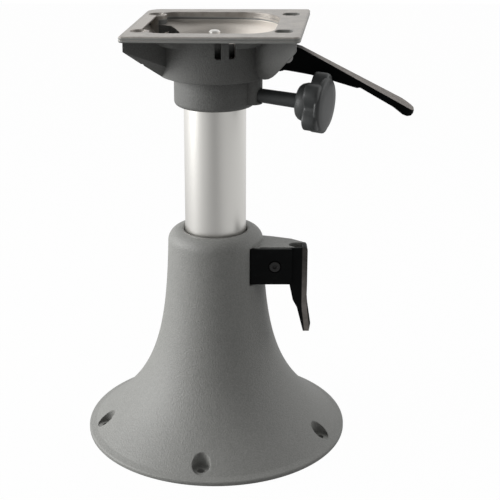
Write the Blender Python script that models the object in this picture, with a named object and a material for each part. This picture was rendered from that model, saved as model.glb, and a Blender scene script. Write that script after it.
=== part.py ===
# Boat seat pedestal: bell base, sliding column, swivelling seat mount, lock lever, tension knob, release lever.
# Metres, +Z up. The origin is on the floor, on the column's axis. +X points to the levers, -Y to the front.
import math

import bmesh
import bpy
from mathutils import Matrix, Vector

# Fits
GAP = 0.0003            # between pieces that touch
OVER = 0.002            # how far a cut runs past the face it opens
WELD = 0.000004         # points nearer than this are one point

# Facets of round shapes
ROUND_LARGE = 48
ROUND_MEDIUM = 36
ROUND_SMALL = 20
ROUND_PIN = 16

# Column tube
TUBE_RADIUS = 0.03175
TUBE_WALL = 0.0030
TUBE_BELOW_COLLAR = 0.2995
TUBE_IN_COLLAR = 0.0265
TUBE_EXPOSED = 0.1345

# Bell base
BASE_RADIUS = 0.1391
BASE_RIM = 0.0035
BASE_HEIGHT = 0.2250
BASE_WALL = 0.0050
NECK_RADIUS = 0.0483
FLARE_WIDTH = 0.0909
FLARE_HEIGHT = 0.0571
FLARE_POWER = 1.081
NECK_EDGE = 0.0130
CAVITY_TOP = 0.1620
BARREL_BOTTOM = 0.1180
BARREL_WALL = 0.0045
LIP_HEIGHT = 0.0060
BUSH_WALL = 0.0046
LOWER_BUSH_LENGTH = 0.0280
UPPER_BUSH_LENGTH = 0.0185
RIB_COUNT = 5
RIB_THICKNESS = 0.0040
RIB_FOOT = 0.0400

# Deck bolt holes
BOLT_COUNT = 5
BOLT_CIRCLE = 0.1210
BOLT_AZIMUTH = math.radians(-24.6)
BOLT_HOLE = 0.0041
BOLT_POCKET = 0.00925
BOLT_FLOOR = 0.0065
BOLT_BOSS = 0.0135

# Lock lever and its lug
LEVER_X = 0.0613
LEVER_Z = 0.1932
LUG_TOP = 0.0192         # above the shaft
LUG_BOTTOM = 0.0194      # below the shaft
LUG_FRONT = -0.0275
LUG_STEP = -0.0127
LUG_REAR = 0.0110
LUG_END = 0.0276         # radius of the end the lever turns round
LUG_REACH = 0.0330
SLOT_DEPTH = 0.0110
SHAFT_RADIUS = 0.0040
SHAFT_HEAD = 0.0054
PLATE_THICKNESS = 0.0030
PLATE_LEFT = 0.0255
PLATE_RIGHT = 0.0175
CHEEK_THICKNESS = 0.0025
CHEEK_HUB = 0.0125
WEB_THICKNESS = 0.0055
WEB_RISE = 0.0005         # above the lug
CAM_WIDTH = 0.0070
CAM_Y = -0.0065
CAM_RADIUS = 0.0105
CAM_DROP = 0.0015
LOCK_ANGLE = math.radians(75.0)
HANDLE_KNEE = 0.0382      # below the shaft, where the handle bends out
HANDLE_TIP = 0.0732
PLUNGER_RADIUS = 0.0060
BRAKE_PAD = 0.0042

# Seat mount, heights above the foot of its collar
HEAD_YAW = math.radians(-6.5)
COLLAR_RADIUS = 0.0414
COLLAR_EDGE = 0.0045
COLLAR_HEIGHT = 0.0295
COLLAR_SKIRT = 0.0020     # below the foot of the swivel bush
DRUM_RADIUS = 0.0560
DRUM_WALL = 0.0045
DRUM_FLOOR = 0.0030
PLATE_BOTTOM = 0.0752
PLATE_TOP = 0.0811
PLATE_LENGTH = 0.1718     # along X
PLATE_WIDTH = 0.1682      # along Y
PLATE_CORNER = 0.0050
PLATE_CENTRE = 0.0047
RIM_STEP = 0.0040
DISH_RADIUS = 0.0505
DISH_FLOOR = 0.0505
DISH_FLAT = 0.0200
OPENING_Y = 0.0640
OPENING_LEFT = -0.0660
OPENING_RIGHT = 0.0640
OPENING_CORNER = 0.0260
HOLE_CENTRE = 0.0030
HOLE_X = 0.0700
HOLE_Y = 0.0505
HOLE_RADIUS = 0.0043
HOLE_POCKET = 0.0088
HOLE_POCKET_DEPTH = 0.0035
HOLE_BOSS = 0.0112
WING_ROOT_ANGLE = math.radians(62.0)
WING_INSET_X = 0.0035
WING_INSET_Y = 0.0065
WING_TIP = 0.0655
WING_RISE = 0.0008
WING_WALL = 0.0045
WING_BULGE = 0.0052       # of the right wing, under a straight line
WING_GATE = math.radians(36.0)   # half of the arc where the dish opens into the left wing
GATE_SILL = 0.0560
WINDOW_AZIMUTH = math.radians(-72.2)
WINDOW_WIDTH = 0.0062
WINDOW_BAR = 0.0077
WINDOW_BOTTOM = 0.0525
WINDOW_TOP = 0.0700

# Swivel
SWIVEL_BUSH_WALL = 0.0032
SPINDLE_PLUG = 0.0410
SPINDLE_BRAKE = 0.0147
SPINDLE_RADIUS = 0.0080
THRUST_WASHER = 0.0020
NUT_ACROSS = 0.0240
NUT_HEIGHT = 0.0120

# Tension knob
KNOB_AZIMUTH = math.radians(-16.5)
KNOB_DIP = math.radians(3.0)
KNOB_Z = 0.0138           # where the knob's axis would meet the column's
KNOB_BOSS = 0.0105
KNOB_BOSS_AXIS = 0.0405
KNOB_SEAT = 0.0485        # where the stem ends, in the boss
KNOB_STEM = 0.0074
KNOB_STUD = 0.0048
KNOB_BACK = 0.0895
KNOB_HUB = 0.0195
KNOB_GRIP = 0.1010        # where the lobes start
KNOB_DISC = 0.1120        # where the round front starts
KNOB_FACE = 0.1190
KNOB_DISC_RADIUS = 0.0288
KNOB_RADIUS = 0.0310
KNOB_NOTCH = 0.0105       # depth between two lobes
KNOB_LOBES = 5

# Release lever
PIVOT_X = 0.0740
PIVOT_Z = 0.0500
PIVOT_RADIUS = 0.0030
EAR_THICKNESS = 0.0050
EAR_HALF_LENGTH = 0.0100
EAR_RADIUS = 0.0078
EAR_FOOT = 0.0330
CHANNEL_ROOT = 0.0070
CHANNEL_TIP = 0.0150
CHANNEL_SHEET = 0.0025
LEVER_REACH = 0.1998
LEVER_ROOT_X = 0.0620
BRAKE_PIN_RADIUS = 0.0034
BRAKE_PIN_Z = 0.0381
LINK_RADIUS = 0.0015
SPRING_WIRE = 0.0010
SPRING_TURNS = 3.5

# Worked out from the above
COLLAR_Z = BASE_HEIGHT + TUBE_EXPOSED
SLIDE_RADIUS = TUBE_RADIUS + GAP
BUSH_RADIUS = SLIDE_RADIUS + BUSH_WALL
BORE_RADIUS = BUSH_RADIUS + GAP
BARREL_RADIUS = BORE_RADIUS + BARREL_WALL
LIP_RADIUS = TUBE_RADIUS + 0.0012
LIP_BOTTOM = BASE_HEIGHT - LIP_HEIGHT
SHAFT_HOLE = SHAFT_RADIUS + GAP
COLLAR_BORE = SLIDE_RADIUS + SWIVEL_BUSH_WALL + GAP
SPINDLE_SHOULDER = TUBE_IN_COLLAR + GAP
SPINDLE_TOP = SPINDLE_SHOULDER + SPINDLE_BRAKE
WASHER_TOP = SPINDLE_TOP + GAP + THRUST_WASHER
COLLAR_CEILING = WASHER_TOP + GAP
BRAKE_DRUM = COLLAR_BORE - 2.0 * GAP
RIM_FLOOR = PLATE_TOP - RIM_STEP

MATERIALS = {}


def material(name, colour, roughness, metallic):
    """Makes, or finds, a Principled material."""
    if name not in MATERIALS:
        made = bpy.data.materials.new(name)
        made.use_nodes = True
        shader = made.node_tree.nodes["Principled BSDF"]
        shader.inputs["Base Color"].default_value = (*colour, 1.0)
        shader.inputs["Roughness"].default_value = roughness
        shader.inputs["Metallic"].default_value = metallic
        made.diffuse_color = (*colour, 1.0)
        MATERIALS[name] = made
    return MATERIALS[name]


def coat():
    return material("textured_coat", (0.17, 0.175, 0.165), 0.55, 0.0)


def aluminium():
    return material("satin_aluminium", (0.62, 0.61, 0.59), 0.35, 1.0)


def steel():
    return material("steel", (0.45, 0.45, 0.46), 0.3, 1.0)


def black_paint():
    return material("black_paint", (0.012, 0.013, 0.013), 0.45, 0.0)


def black_plastic():
    return material("black_plastic", (0.02, 0.022, 0.023), 0.5, 0.0)


def nylon():
    return material("nylon", (0.75, 0.74, 0.70), 0.5, 0.0)


def to_object(name, bm, finish, smooth=35.0):
    """Turns a bmesh into an object, with its faces pointing out."""
    bmesh.ops.recalc_face_normals(bm, faces=bm.faces)
    mesh = bpy.data.meshes.new(name)
    bm.to_mesh(mesh)
    bm.free()
    mesh.shade_smooth()
    mesh.set_sharp_from_angle(angle=math.radians(smooth))
    obj = bpy.data.objects.new(name, mesh)
    bpy.context.scene.collection.objects.link(obj)
    if finish is not None:
        mesh.materials.append(finish)
    return obj


def revolve(name, profile, segments, finish=None):
    """Turns a closed (radius, height) outline about Z. Points at radius 0 become one vertex."""
    bm = bmesh.new()
    rings = []
    for radius, height in profile:
        if radius < 1e-7:
            rings.append([bm.verts.new((0.0, 0.0, height))])
            continue
        ring = []
        for step in range(segments):
            angle = 2.0 * math.pi * step / segments
            ring.append(bm.verts.new((radius * math.cos(angle), radius * math.sin(angle), height)))
        rings.append(ring)
    for low, high in zip(rings, rings[1:] + rings[:1]):
        if len(low) == 1 and len(high) == 1:
            continue
        for step in range(segments):
            after = (step + 1) % segments
            corners = [low[step % len(low)], low[after % len(low)], high[after % len(high)], high[step % len(high)]]
            bm.faces.new(list(dict.fromkeys(corners)))
    return to_object(name, bm, finish)


def prism(name, outline, low, high, axis="Z", finish=None, smooth=35.0):
    """Extrudes an outline. Axis Z takes (x, y), axis Y takes (x, z), axis X takes (y, z)."""
    put = {
        "Z": lambda u, v, w: (u, v, w),
        "Y": lambda u, v, w: (u, w, v),
        "X": lambda u, v, w: (w, u, v),
    }[axis]
    bm = bmesh.new()
    near = [bm.verts.new(put(u, v, low)) for u, v in outline]
    far = [bm.verts.new(put(u, v, high)) for u, v in outline]
    bm.faces.new(near)
    bm.faces.new(far)
    for here in range(len(outline)):
        there = (here + 1) % len(outline)
        bm.faces.new((near[here], near[there], far[there], far[here]))
    return to_object(name, bm, finish, smooth)


def arc(centre, radius, start, end, steps):
    """Points of an arc, angles in degrees."""
    points = []
    for step in range(steps + 1):
        angle = math.radians(start + (end - start) * step / steps)
        points.append((centre[0] + radius * math.cos(angle), centre[1] + radius * math.sin(angle)))
    return points


def circle(centre, radius, segments):
    return arc(centre, radius, 0.0, 360.0, segments)[:-1]


def rounded_box(x0, x1, y0, y1, radius, steps=5):
    """Outline of a rectangle with round corners."""
    return (
        arc((x1 - radius, y1 - radius), radius, 0.0, 90.0, steps)
        + arc((x0 + radius, y1 - radius), radius, 90.0, 180.0, steps)
        + arc((x0 + radius, y0 + radius), radius, 180.0, 270.0, steps)
        + arc((x1 - radius, y0 + radius), radius, 270.0, 360.0, steps)
    )


def hull(name, points, finish=None):
    """Convex hull of a few points."""
    bm = bmesh.new()
    verts = [bm.verts.new(point) for point in points]
    result = bmesh.ops.convex_hull(bm, input=verts)
    loose = [item for item in result["geom_interior"] if isinstance(item, bmesh.types.BMVert)]
    bmesh.ops.delete(bm, geom=loose, context="VERTS")
    bmesh.ops.dissolve_limit(bm, angle_limit=math.radians(0.5), verts=bm.verts, edges=bm.edges)
    return to_object(name, bm, finish)


def rod(name, start, end, radius, segments=ROUND_SMALL, finish=None):
    """Cylinder between two points."""
    start, end = Vector(start), Vector(end)
    along = end - start
    bm = bmesh.new()
    bmesh.ops.create_cone(
        bm, cap_ends=True, segments=segments, radius1=radius, radius2=radius, depth=along.length,
        matrix=Matrix.Translation((start + end) / 2.0) @ along.to_track_quat("Z", "Y").to_matrix().to_4x4(),
    )
    return to_object(name, bm, finish)


def combine(target, tools, operation):
    """Applies Booleans to the target, and deletes the tools."""
    for tool in tools:
        tool.hide_render = True
        tool.display_type = "WIRE"
        step = target.modifiers.new("cut", "BOOLEAN")
        step.operation = operation
        step.solver = "EXACT"
        step.object = tool
    bpy.context.view_layer.update()
    evaluated = target.evaluated_get(bpy.context.evaluated_depsgraph_get())
    mesh = bpy.data.meshes.new_from_object(evaluated)
    target.modifiers.clear()
    old, target.data = target.data, mesh
    mesh.name = target.name
    bpy.data.meshes.remove(old)
    bm = bmesh.new()
    bm.from_mesh(mesh)
    bmesh.ops.remove_doubles(bm, verts=bm.verts, dist=WELD)
    bmesh.ops.dissolve_degenerate(bm, edges=bm.edges, dist=WELD)
    bm.to_mesh(mesh)
    bm.free()
    for tool in tools:
        bpy.data.objects.remove(tool)
    mesh.shade_smooth()
    mesh.set_sharp_from_angle(angle=math.radians(35.0))
    return target


def cut(target, *tools):
    return combine(target, tools, "DIFFERENCE")


def join(target, *tools):
    return combine(target, tools, "UNION")


def dress(obj, finish):
    """Leaves one material on the object."""
    obj.data.materials.clear()
    obj.data.materials.append(finish)
    for face in obj.data.polygons:
        face.material_index = 0
    return obj


def soften(obj, width, segments=2, angle=40.0):
    """Rounds the sharp edges."""
    step = obj.modifiers.new("round", "BEVEL")
    step.width = width
    step.segments = segments
    step.limit_method = "ANGLE"
    step.angle_limit = math.radians(angle)
    step.harden_normals = False
    return obj


def carry(obj, axis, origin):
    """Puts the object's origin on the point it turns or slides about, and hangs it on its axis."""
    obj.data.transform(Matrix.Translation(-Vector(origin)))
    obj.parent = axis


def holder(name, location, parent=None, yaw=0.0, dip=0.0):
    """Empty that carries a moving group, turned about Z and then dipped."""
    empty = bpy.data.objects.new(name, None)
    empty.location = location
    empty.rotation_euler = (0.0, dip, yaw)
    empty.parent = parent
    bpy.context.scene.collection.objects.link(empty)
    return empty


def polar(radius, angle, height):
    return (radius * math.cos(angle), radius * math.sin(angle), height)


# Bell base


def flare(height):
    """Outer radius of the bell at a height."""
    return NECK_RADIUS + FLARE_WIDTH * math.exp(-((height / FLARE_HEIGHT) ** FLARE_POWER))


def bell_outside():
    """Outline of the bell's outside, from the rim to the lip of its mouth."""
    points = [(BASE_RADIUS, 0.0)]
    points += arc((BASE_RADIUS - BASE_RIM * 0.7, BASE_RIM * 0.6), BASE_RIM * 0.7, 0.0, 60.0, 3)
    first = BASE_RIM * 1.6
    last = BASE_HEIGHT - NECK_EDGE
    steps = 13
    for step in range(steps + 1):
        share = (step / steps) ** 1.35
        height = first + (last - first) * share
        points.append((flare(height), height))
    shoulder = flare(last)
    points += arc((shoulder - NECK_EDGE, last), NECK_EDGE, 15.0, 90.0, 5)
    return points


def make_bell():
    outside = bell_outside()
    bell = revolve("bell_base", [(0.0, 0.0)] + outside + [(0.0, BASE_HEIGHT)], ROUND_LARGE)

    shaft = (LEVER_X, LEVER_Z)
    top = LEVER_Z + LUG_TOP
    bottom = LEVER_Z - LUG_BOTTOM
    reach_top = math.degrees(math.asin(min(1.0, LUG_TOP / LUG_END)))
    reach_bottom = math.degrees(math.asin(min(1.0, LUG_BOTTOM / LUG_END)))
    inner = BORE_RADIUS + 0.0035
    end = arc(shaft, LUG_END, -reach_bottom, reach_top, 10)
    lug = prism("lug", [(inner, bottom)] + end + [(inner, top)], LUG_FRONT, LUG_STEP + 0.0002, "Y")
    tail = [
        (inner, LUG_STEP), (LEVER_X + LUG_REACH, LUG_STEP), (LEVER_X + 0.55 * LUG_REACH, LUG_REAR - 0.0115),
        (LEVER_X, LUG_REAR - 0.0045), (NECK_RADIUS - 0.002, LUG_REAR), (inner, LUG_REAR),
    ]
    rear = prism("lug_rear", tail, bottom, top, "Z")
    seat_x = LEVER_X - PLATE_LEFT - 2.0 * GAP
    seat_y = LUG_FRONT - CHEEK_THICKNESS - 2.0 * GAP
    pad = prism("lug_pad", [(inner, LUG_FRONT + 0.002), (inner, seat_y), (LEVER_X - CHEEK_HUB - 0.003, seat_y),
                            (LEVER_X - CHEEK_HUB - 0.003, LUG_FRONT + 0.002)], bottom, top, "Z")
    join(bell, lug, rear, pad)
    far = seat_y - 0.03
    flat = prism("plate_seat", [(seat_x, seat_y), (seat_x + 0.08, seat_y), (seat_x + 0.08, far), (seat_x, far)],
                 bottom - 2.0 * GAP, top + 2.0 * GAP, "Z")

    inside = [(0.0, -OVER)]
    steps = 8
    for step in range(steps + 1):
        height = -OVER + (CAVITY_TOP + OVER) * step / steps
        radius = flare(max(height, 0.0) + BASE_WALL * 0.4) - BASE_WALL
        inside.append((max(radius, BARREL_RADIUS + 0.0015), height))
    inside += [(BARREL_RADIUS, CAVITY_TOP), (BARREL_RADIUS, BARREL_BOTTOM), (0.0, BARREL_BOTTOM)]
    cavity = revolve("cavity", inside, ROUND_LARGE)
    fillers = []
    for step in range(BOLT_COUNT):
        angle = BOLT_AZIMUTH + 2.0 * math.pi * step / BOLT_COUNT
        fillers.append(rod("boss", polar(BOLT_CIRCLE, angle, -2 * OVER), polar(BOLT_CIRCLE, angle, 0.06), BOLT_BOSS, ROUND_SMALL))
    for step in range(RIB_COUNT):
        angle = BOLT_AZIMUTH + math.pi * (2.0 * step + 1.0) / RIB_COUNT
        side = Vector((-math.sin(angle), math.cos(angle), 0.0)) * RIB_THICKNESS / 2.0
        near = Vector(polar(BARREL_RADIUS - 0.0005, angle, 0.0))
        wide = Vector(polar(BASE_RADIUS, angle, 0.0))
        corners = [near - side, wide - side, wide + side, near + side]
        fillers.append(prism("rib", [(c.x, c.y) for c in corners], RIB_FOOT, CAVITY_TOP + OVER, "Z"))
    barrel_core = rod("core", (0, 0, -2 * OVER), (0, 0, BARREL_BOTTOM + OVER), BORE_RADIUS, ROUND_LARGE)
    cut(cavity, *fillers)
    join(cavity, barrel_core)

    bore = rod("bore", (0, 0, BARREL_BOTTOM - OVER), (0, 0, LIP_BOTTOM), BORE_RADIUS, ROUND_LARGE)
    mouth = revolve("mouth", [
        (0.0, LIP_BOTTOM - OVER), (LIP_RADIUS, LIP_BOTTOM - OVER), (LIP_RADIUS, BASE_HEIGHT - 0.0025),
        (LIP_RADIUS + 0.0008, BASE_HEIGHT - 0.0008), (LIP_RADIUS + 0.0025, BASE_HEIGHT),
        (LIP_RADIUS + 0.0025, BASE_HEIGHT + OVER), (0.0, BASE_HEIGHT + OVER),
    ], ROUND_LARGE)
    cut(bell, flat, cavity, bore, mouth)

    pockets = []
    holes = []
    for step in range(BOLT_COUNT):
        angle = BOLT_AZIMUTH + 2.0 * math.pi * step / BOLT_COUNT
        foot = polar(BOLT_CIRCLE, angle, -OVER)
        floor = polar(BOLT_CIRCLE, angle, BOLT_FLOOR)
        over_floor = polar(BOLT_CIRCLE, angle, BOLT_FLOOR + OVER)
        above = polar(BOLT_CIRCLE, angle, 0.06)
        holes.append(rod("hole", foot, over_floor, BOLT_HOLE, ROUND_PIN))
        pockets.append(rod("pocket", floor, above, BOLT_POCKET, ROUND_SMALL))
    cut(bell, *pockets)
    cut(bell, *holes)

    half = CAM_WIDTH / 2.0 + 2.0 * GAP
    space = CAM_RADIUS + 0.0030
    well = prism("cam_well", arc(shaft, space, 0.0, 180.0, 12) + [
        (LEVER_X - space, bottom - OVER), (LEVER_X + space, bottom - OVER)], CAM_Y - half, CAM_Y + half, "Y")
    hole_y = rod("shaft_hole", (LEVER_X, LUG_FRONT - OVER, LEVER_Z), (LEVER_X, 0.05, LEVER_Z), SHAFT_HOLE, ROUND_SMALL)
    spot = rod("spot", (LEVER_X, LUG_REAR - 0.0062, LEVER_Z), (LEVER_X, 0.05, LEVER_Z), 0.0085, ROUND_SMALL)
    guide = rod("guide", (0.030, CAM_Y, LEVER_Z), (LEVER_X - 0.008, CAM_Y, LEVER_Z), PLUNGER_RADIUS + GAP, ROUND_SMALL)
    slot_half = 0.0062
    slot_x = LEVER_X + 0.0145 + slot_half
    slot_y = LUG_STEP - slot_half - 0.0004
    slot_outline = arc((slot_x, slot_y), slot_half, 90.0, 270.0, 8)
    slot_outline += [(slot_x + 0.03, slot_y - slot_half), (slot_x + 0.03, slot_y + slot_half)]
    slot = prism("slot", slot_outline, top - SLOT_DEPTH, top + OVER, "Z")
    cut(bell, well, spot, hole_y, guide, slot)
    return dress(bell, coat())


def make_bushes():
    profile_low = [
        (SLIDE_RADIUS, BARREL_BOTTOM + GAP), (BUSH_RADIUS, BARREL_BOTTOM + GAP),
        (BUSH_RADIUS, BARREL_BOTTOM + LOWER_BUSH_LENGTH), (SLIDE_RADIUS, BARREL_BOTTOM + LOWER_BUSH_LENGTH),
    ]
    top = LIP_BOTTOM - GAP
    profile_high = [
        (SLIDE_RADIUS, top - UPPER_BUSH_LENGTH), (BUSH_RADIUS, top - UPPER_BUSH_LENGTH),
        (BUSH_RADIUS, top), (SLIDE_RADIUS, top),
    ]
    revolve("lower_slide_bush", profile_low, 48, nylon())
    revolve("upper_slide_bush", profile_high, 48, nylon())


# Lock lever


def make_lock(lever_axis):
    shaft = (LEVER_X, LEVER_Z)
    top = LEVER_Z + LUG_TOP
    bottom = LEVER_Z - LUG_BOTTOM
    cheek_rear = LUG_FRONT - GAP
    cheek_front = cheek_rear - CHEEK_THICKNESS
    plate_rear = cheek_front - GAP
    plate_front = plate_rear - PLATE_THICKNESS
    web_inner = LEVER_X + LUG_END + 0.0008
    web_outer = web_inner + WEB_THICKNESS
    rear = LUG_STEP - 0.0005

    plate = prism("lock_plate", rounded_box(LEVER_X - PLATE_LEFT, LEVER_X + PLATE_RIGHT, bottom, top, 0.0008, 2),
                  plate_front, plate_rear, "Y")
    sink = rod("sink", (LEVER_X, plate_front - OVER, LEVER_Z), (LEVER_X, plate_front + 0.0014, LEVER_Z), 0.0066, 24)
    through = rod("through", (LEVER_X, plate_front, LEVER_Z), (LEVER_X, plate_rear + OVER, LEVER_Z), SHAFT_HOLE, ROUND_SMALL)
    cut(plate, sink, through)
    dress(plate, black_paint())

    # The lever is a bent channel: a front cheek with a hub, and a web that runs down as the handle.
    edge_top = top + WEB_RISE
    cheek_outline = (
        arc(shaft, CHEEK_HUB, 100.0, 260.0, 8)
        + [(web_inner - 0.0131, bottom - 0.0004), (web_inner - 0.0092, LEVER_Z - HANDLE_KNEE),
           (web_inner - 0.0049, LEVER_Z - HANDLE_KNEE - 0.0080), (web_inner + 0.0019, LEVER_Z - HANDLE_TIP),
           (web_outer + 0.0027, LEVER_Z - HANDLE_TIP), (web_outer + 0.0041, LEVER_Z - HANDLE_TIP + 0.0090),
           (web_outer + 0.0004, LEVER_Z - HANDLE_KNEE - 0.0015), (web_outer - 0.0002, LEVER_Z - HANDLE_KNEE + 0.006),
           (web_outer, bottom)]
        + arc((web_outer - 0.0030, edge_top - 0.0030), 0.0030, 0.0, 90.0, 3)
        + [(web_inner - 0.0004, edge_top), (web_inner - 0.0018, top + 0.0002), (web_inner - 0.0115, top + 0.0002)]
    )
    lever = prism("lock_lever", cheek_outline, cheek_front, rear, "Y")
    left = LEVER_X - CHEEK_HUB - 0.01
    room = [
        (left, edge_top + OVER), (left, LEVER_Z - HANDLE_TIP - OVER), (web_inner - 0.0010, LEVER_Z - HANDLE_TIP - OVER),
        (web_inner - 0.0010, LEVER_Z - HANDLE_KNEE - 0.0120), (web_inner, LEVER_Z - HANDLE_KNEE),
        (web_inner, edge_top + OVER),
    ]
    hollow = prism("hollow", room, cheek_rear, rear + OVER, "Y")
    eye = rod("eye", (LEVER_X, cheek_front - OVER, LEVER_Z), (LEVER_X, cheek_rear + OVER, LEVER_Z), SHAFT_HOLE, ROUND_SMALL)
    cut(lever, hollow, eye)
    dress(lever, black_paint())
    soften(lever, 0.0009, 2, 50.0)

    bolt_end = LUG_REAR - 0.0062 + 0.0052
    bolt = rod("lever_shaft", (LEVER_X, plate_front + 0.0014 + GAP, LEVER_Z), (LEVER_X, bolt_end, LEVER_Z),
               SHAFT_RADIUS, ROUND_SMALL)
    head = rod("head", (LEVER_X, plate_front - 0.0006, LEVER_Z), (LEVER_X, plate_front + 0.0014 - GAP, LEVER_Z),
               SHAFT_HEAD, ROUND_SMALL)
    neck = rod("neck", (LEVER_X, plate_front + 0.0002, LEVER_Z), (LEVER_X, plate_front + 0.003, LEVER_Z),
               SHAFT_RADIUS, ROUND_SMALL)
    join(bolt, head, neck)
    socket = prism("socket", circle(shaft, 0.0026, 6), plate_front - OVER, plate_front + 0.0012, "Y")
    cut(bolt, socket)
    dress(bolt, steel())

    nut_y = LUG_REAR - 0.0062 + GAP
    nut = prism("lever_shaft_nut", circle(shaft, 0.0072, 6), nut_y, nut_y + 0.0042, "Y")
    cut(nut, rod("bore", (LEVER_X, nut_y - OVER, LEVER_Z), (LEVER_X, nut_y + 0.01, LEVER_Z), SHAFT_HOLE, ROUND_SMALL))
    dress(nut, steel())

    # The cam's radius falls evenly, by CAM_DROP, over the lever's whole turn.
    outline = []
    steps = 48
    low = CAM_RADIUS - CAM_DROP
    for step in range(steps):
        turn = 2.0 * math.pi * step / steps
        back = math.pi - turn
        if 0.0 <= back <= LOCK_ANGLE:
            radius = CAM_RADIUS - CAM_DROP * back / LOCK_ANGLE
        elif -0.6 < back < 0.0:
            radius = CAM_RADIUS + CAM_DROP * back / 0.6
        else:
            radius = low
        outline.append((LEVER_X + radius * math.cos(turn), LEVER_Z + radius * math.sin(turn)))
    cam = prism("brake_cam", outline, CAM_Y - CAM_WIDTH / 2.0, CAM_Y + CAM_WIDTH / 2.0, "Y")
    cut(cam, rod("bore", (LEVER_X, CAM_Y - 0.01, LEVER_Z), (LEVER_X, CAM_Y + 0.01, LEVER_Z), SHAFT_HOLE, ROUND_SMALL))
    dress(cam, steel())

    origin = (LEVER_X, 0.0, LEVER_Z)
    for piece in (lever, bolt, nut, cam):
        carry(piece, lever_axis, origin)

    pad_outer = SLIDE_RADIUS + BRAKE_PAD
    plunger = rod("brake_plunger", (pad_outer + GAP, CAM_Y, LEVER_Z),
                  (LEVER_X - CAM_RADIUS - GAP, CAM_Y, LEVER_Z), PLUNGER_RADIUS, ROUND_SMALL, aluminium())
    shoe = rod("brake_pad", (TUBE_RADIUS - 0.004, CAM_Y, LEVER_Z), (pad_outer, CAM_Y, LEVER_Z), PLUNGER_RADIUS - GAP, ROUND_SMALL)
    cut(shoe, rod("tube", (0, 0, LEVER_Z - 0.02), (0, 0, LEVER_Z + 0.02), SLIDE_RADIUS + 0.0001, 96))
    dress(shoe, nylon())
    return plunger, shoe


# Column


def make_column(column):
    tube_top = COLLAR_Z + TUBE_IN_COLLAR
    tube_bottom = COLLAR_Z - TUBE_BELOW_COLLAR
    inside = TUBE_RADIUS - TUBE_WALL
    tube = revolve("column_tube", [
        (inside, tube_bottom), (TUBE_RADIUS, tube_bottom), (TUBE_RADIUS, tube_top), (inside, tube_top),
    ], ROUND_LARGE, aluminium())

    plug = inside - GAP
    stop_radius = BORE_RADIUS + 0.0028
    stop = revolve("tube_end_stop", [
        (0.0, tube_bottom - 0.005), (stop_radius - 0.001, tube_bottom - 0.005), (stop_radius, tube_bottom - 0.004),
        (stop_radius, tube_bottom - GAP), (plug, tube_bottom - GAP), (plug, tube_bottom + 0.018),
        (plug - 0.003, tube_bottom + 0.018), (plug - 0.003, tube_bottom), (0.0, tube_bottom),
    ], ROUND_MEDIUM, black_plastic())

    nut_top = DISH_FLOOR + 0.0023 + NUT_HEIGHT
    base = COLLAR_Z
    spindle = revolve("swivel_spindle", [
        (0.0, base + SPINDLE_SHOULDER - SPINDLE_PLUG), (plug - 0.001, base + SPINDLE_SHOULDER - SPINDLE_PLUG),
        (plug, base + SPINDLE_SHOULDER - SPINDLE_PLUG + 0.001), (plug, base + SPINDLE_SHOULDER),
        (BRAKE_DRUM, base + SPINDLE_SHOULDER), (BRAKE_DRUM, base + SPINDLE_TOP), (SPINDLE_RADIUS, base + SPINDLE_TOP),
        (SPINDLE_RADIUS, base + nut_top + 0.003), (0.0060, base + nut_top + 0.0045),
        (0.0058, base + nut_top + 0.0070), (0.0040, base + nut_top + 0.0085), (0.0, base + nut_top + 0.0090),
    ], 28, aluminium())

    washer = revolve("spindle_washer", [
        (SPINDLE_RADIUS + GAP, base + DISH_FLOOR + GAP), (0.0150, base + DISH_FLOOR + GAP),
        (0.0150, base + DISH_FLOOR + GAP + 0.002 - GAP), (SPINDLE_RADIUS + GAP, base + DISH_FLOOR + 0.002),
    ], 24, steel())
    nut = prism("spindle_nut", circle((0.0, 0.0), NUT_ACROSS / math.sqrt(3.0), 6),
                base + DISH_FLOOR + 0.002 + GAP, base + nut_top, "Z")
    cut(nut, rod("bore", (0, 0, base + DISH_FLOOR), (0, 0, base + nut_top + OVER), SPINDLE_RADIUS + GAP, 32))
    dress(nut, steel())
    for piece in (tube, stop, spindle, washer, nut):
        carry(piece, column, (0.0, 0.0, COLLAR_Z))


# Seat mount, modelled about its own axis with height 0 at the foot of the collar


def dish_profile():
    """Hollow of the dish, from its rim inwards."""
    points = []
    steps = 7
    depth = RIM_FLOOR - DISH_FLOOR
    for step in range(steps + 1):
        angle = math.radians(90.0 * step / steps)
        radius = DISH_FLAT + (DISH_RADIUS - DISH_FLAT) * math.cos(angle)
        height = RIM_FLOOR - depth * math.sin(angle)
        points.append((radius, height))
    return points


def seat_holes():
    """Places of the four seat bolts."""
    return [(HOLE_CENTRE + sx * HOLE_X, sy * HOLE_Y) for sx in (-1.0, 1.0) for sy in (-1.0, 1.0)]


def knob_point(distance):
    """Point on the knob's axis, at a distance from the column's."""
    level = distance * math.cos(KNOB_DIP)
    return polar(level, KNOB_AZIMUTH, KNOB_Z - distance * math.sin(KNOB_DIP))


def boss_posts():
    """Posts that keep metal round the two seat bolts over the left wing."""
    posts = []
    for x, y in seat_holes()[:2]:
        posts.append(rod("post", (x, y, 0.0), (x, y, PLATE_TOP + 2.0 * OVER), HOLE_BOSS, 24))
    return posts


def gate_corners():
    """Directions of the corners of the gap between the dish and the left wing."""
    corners = []
    for turn in (-WING_GATE, WING_GATE, WING_GATE, 0.0, -WING_GATE):
        corners.append((-math.cos(turn), math.sin(turn)))
    return corners


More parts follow.
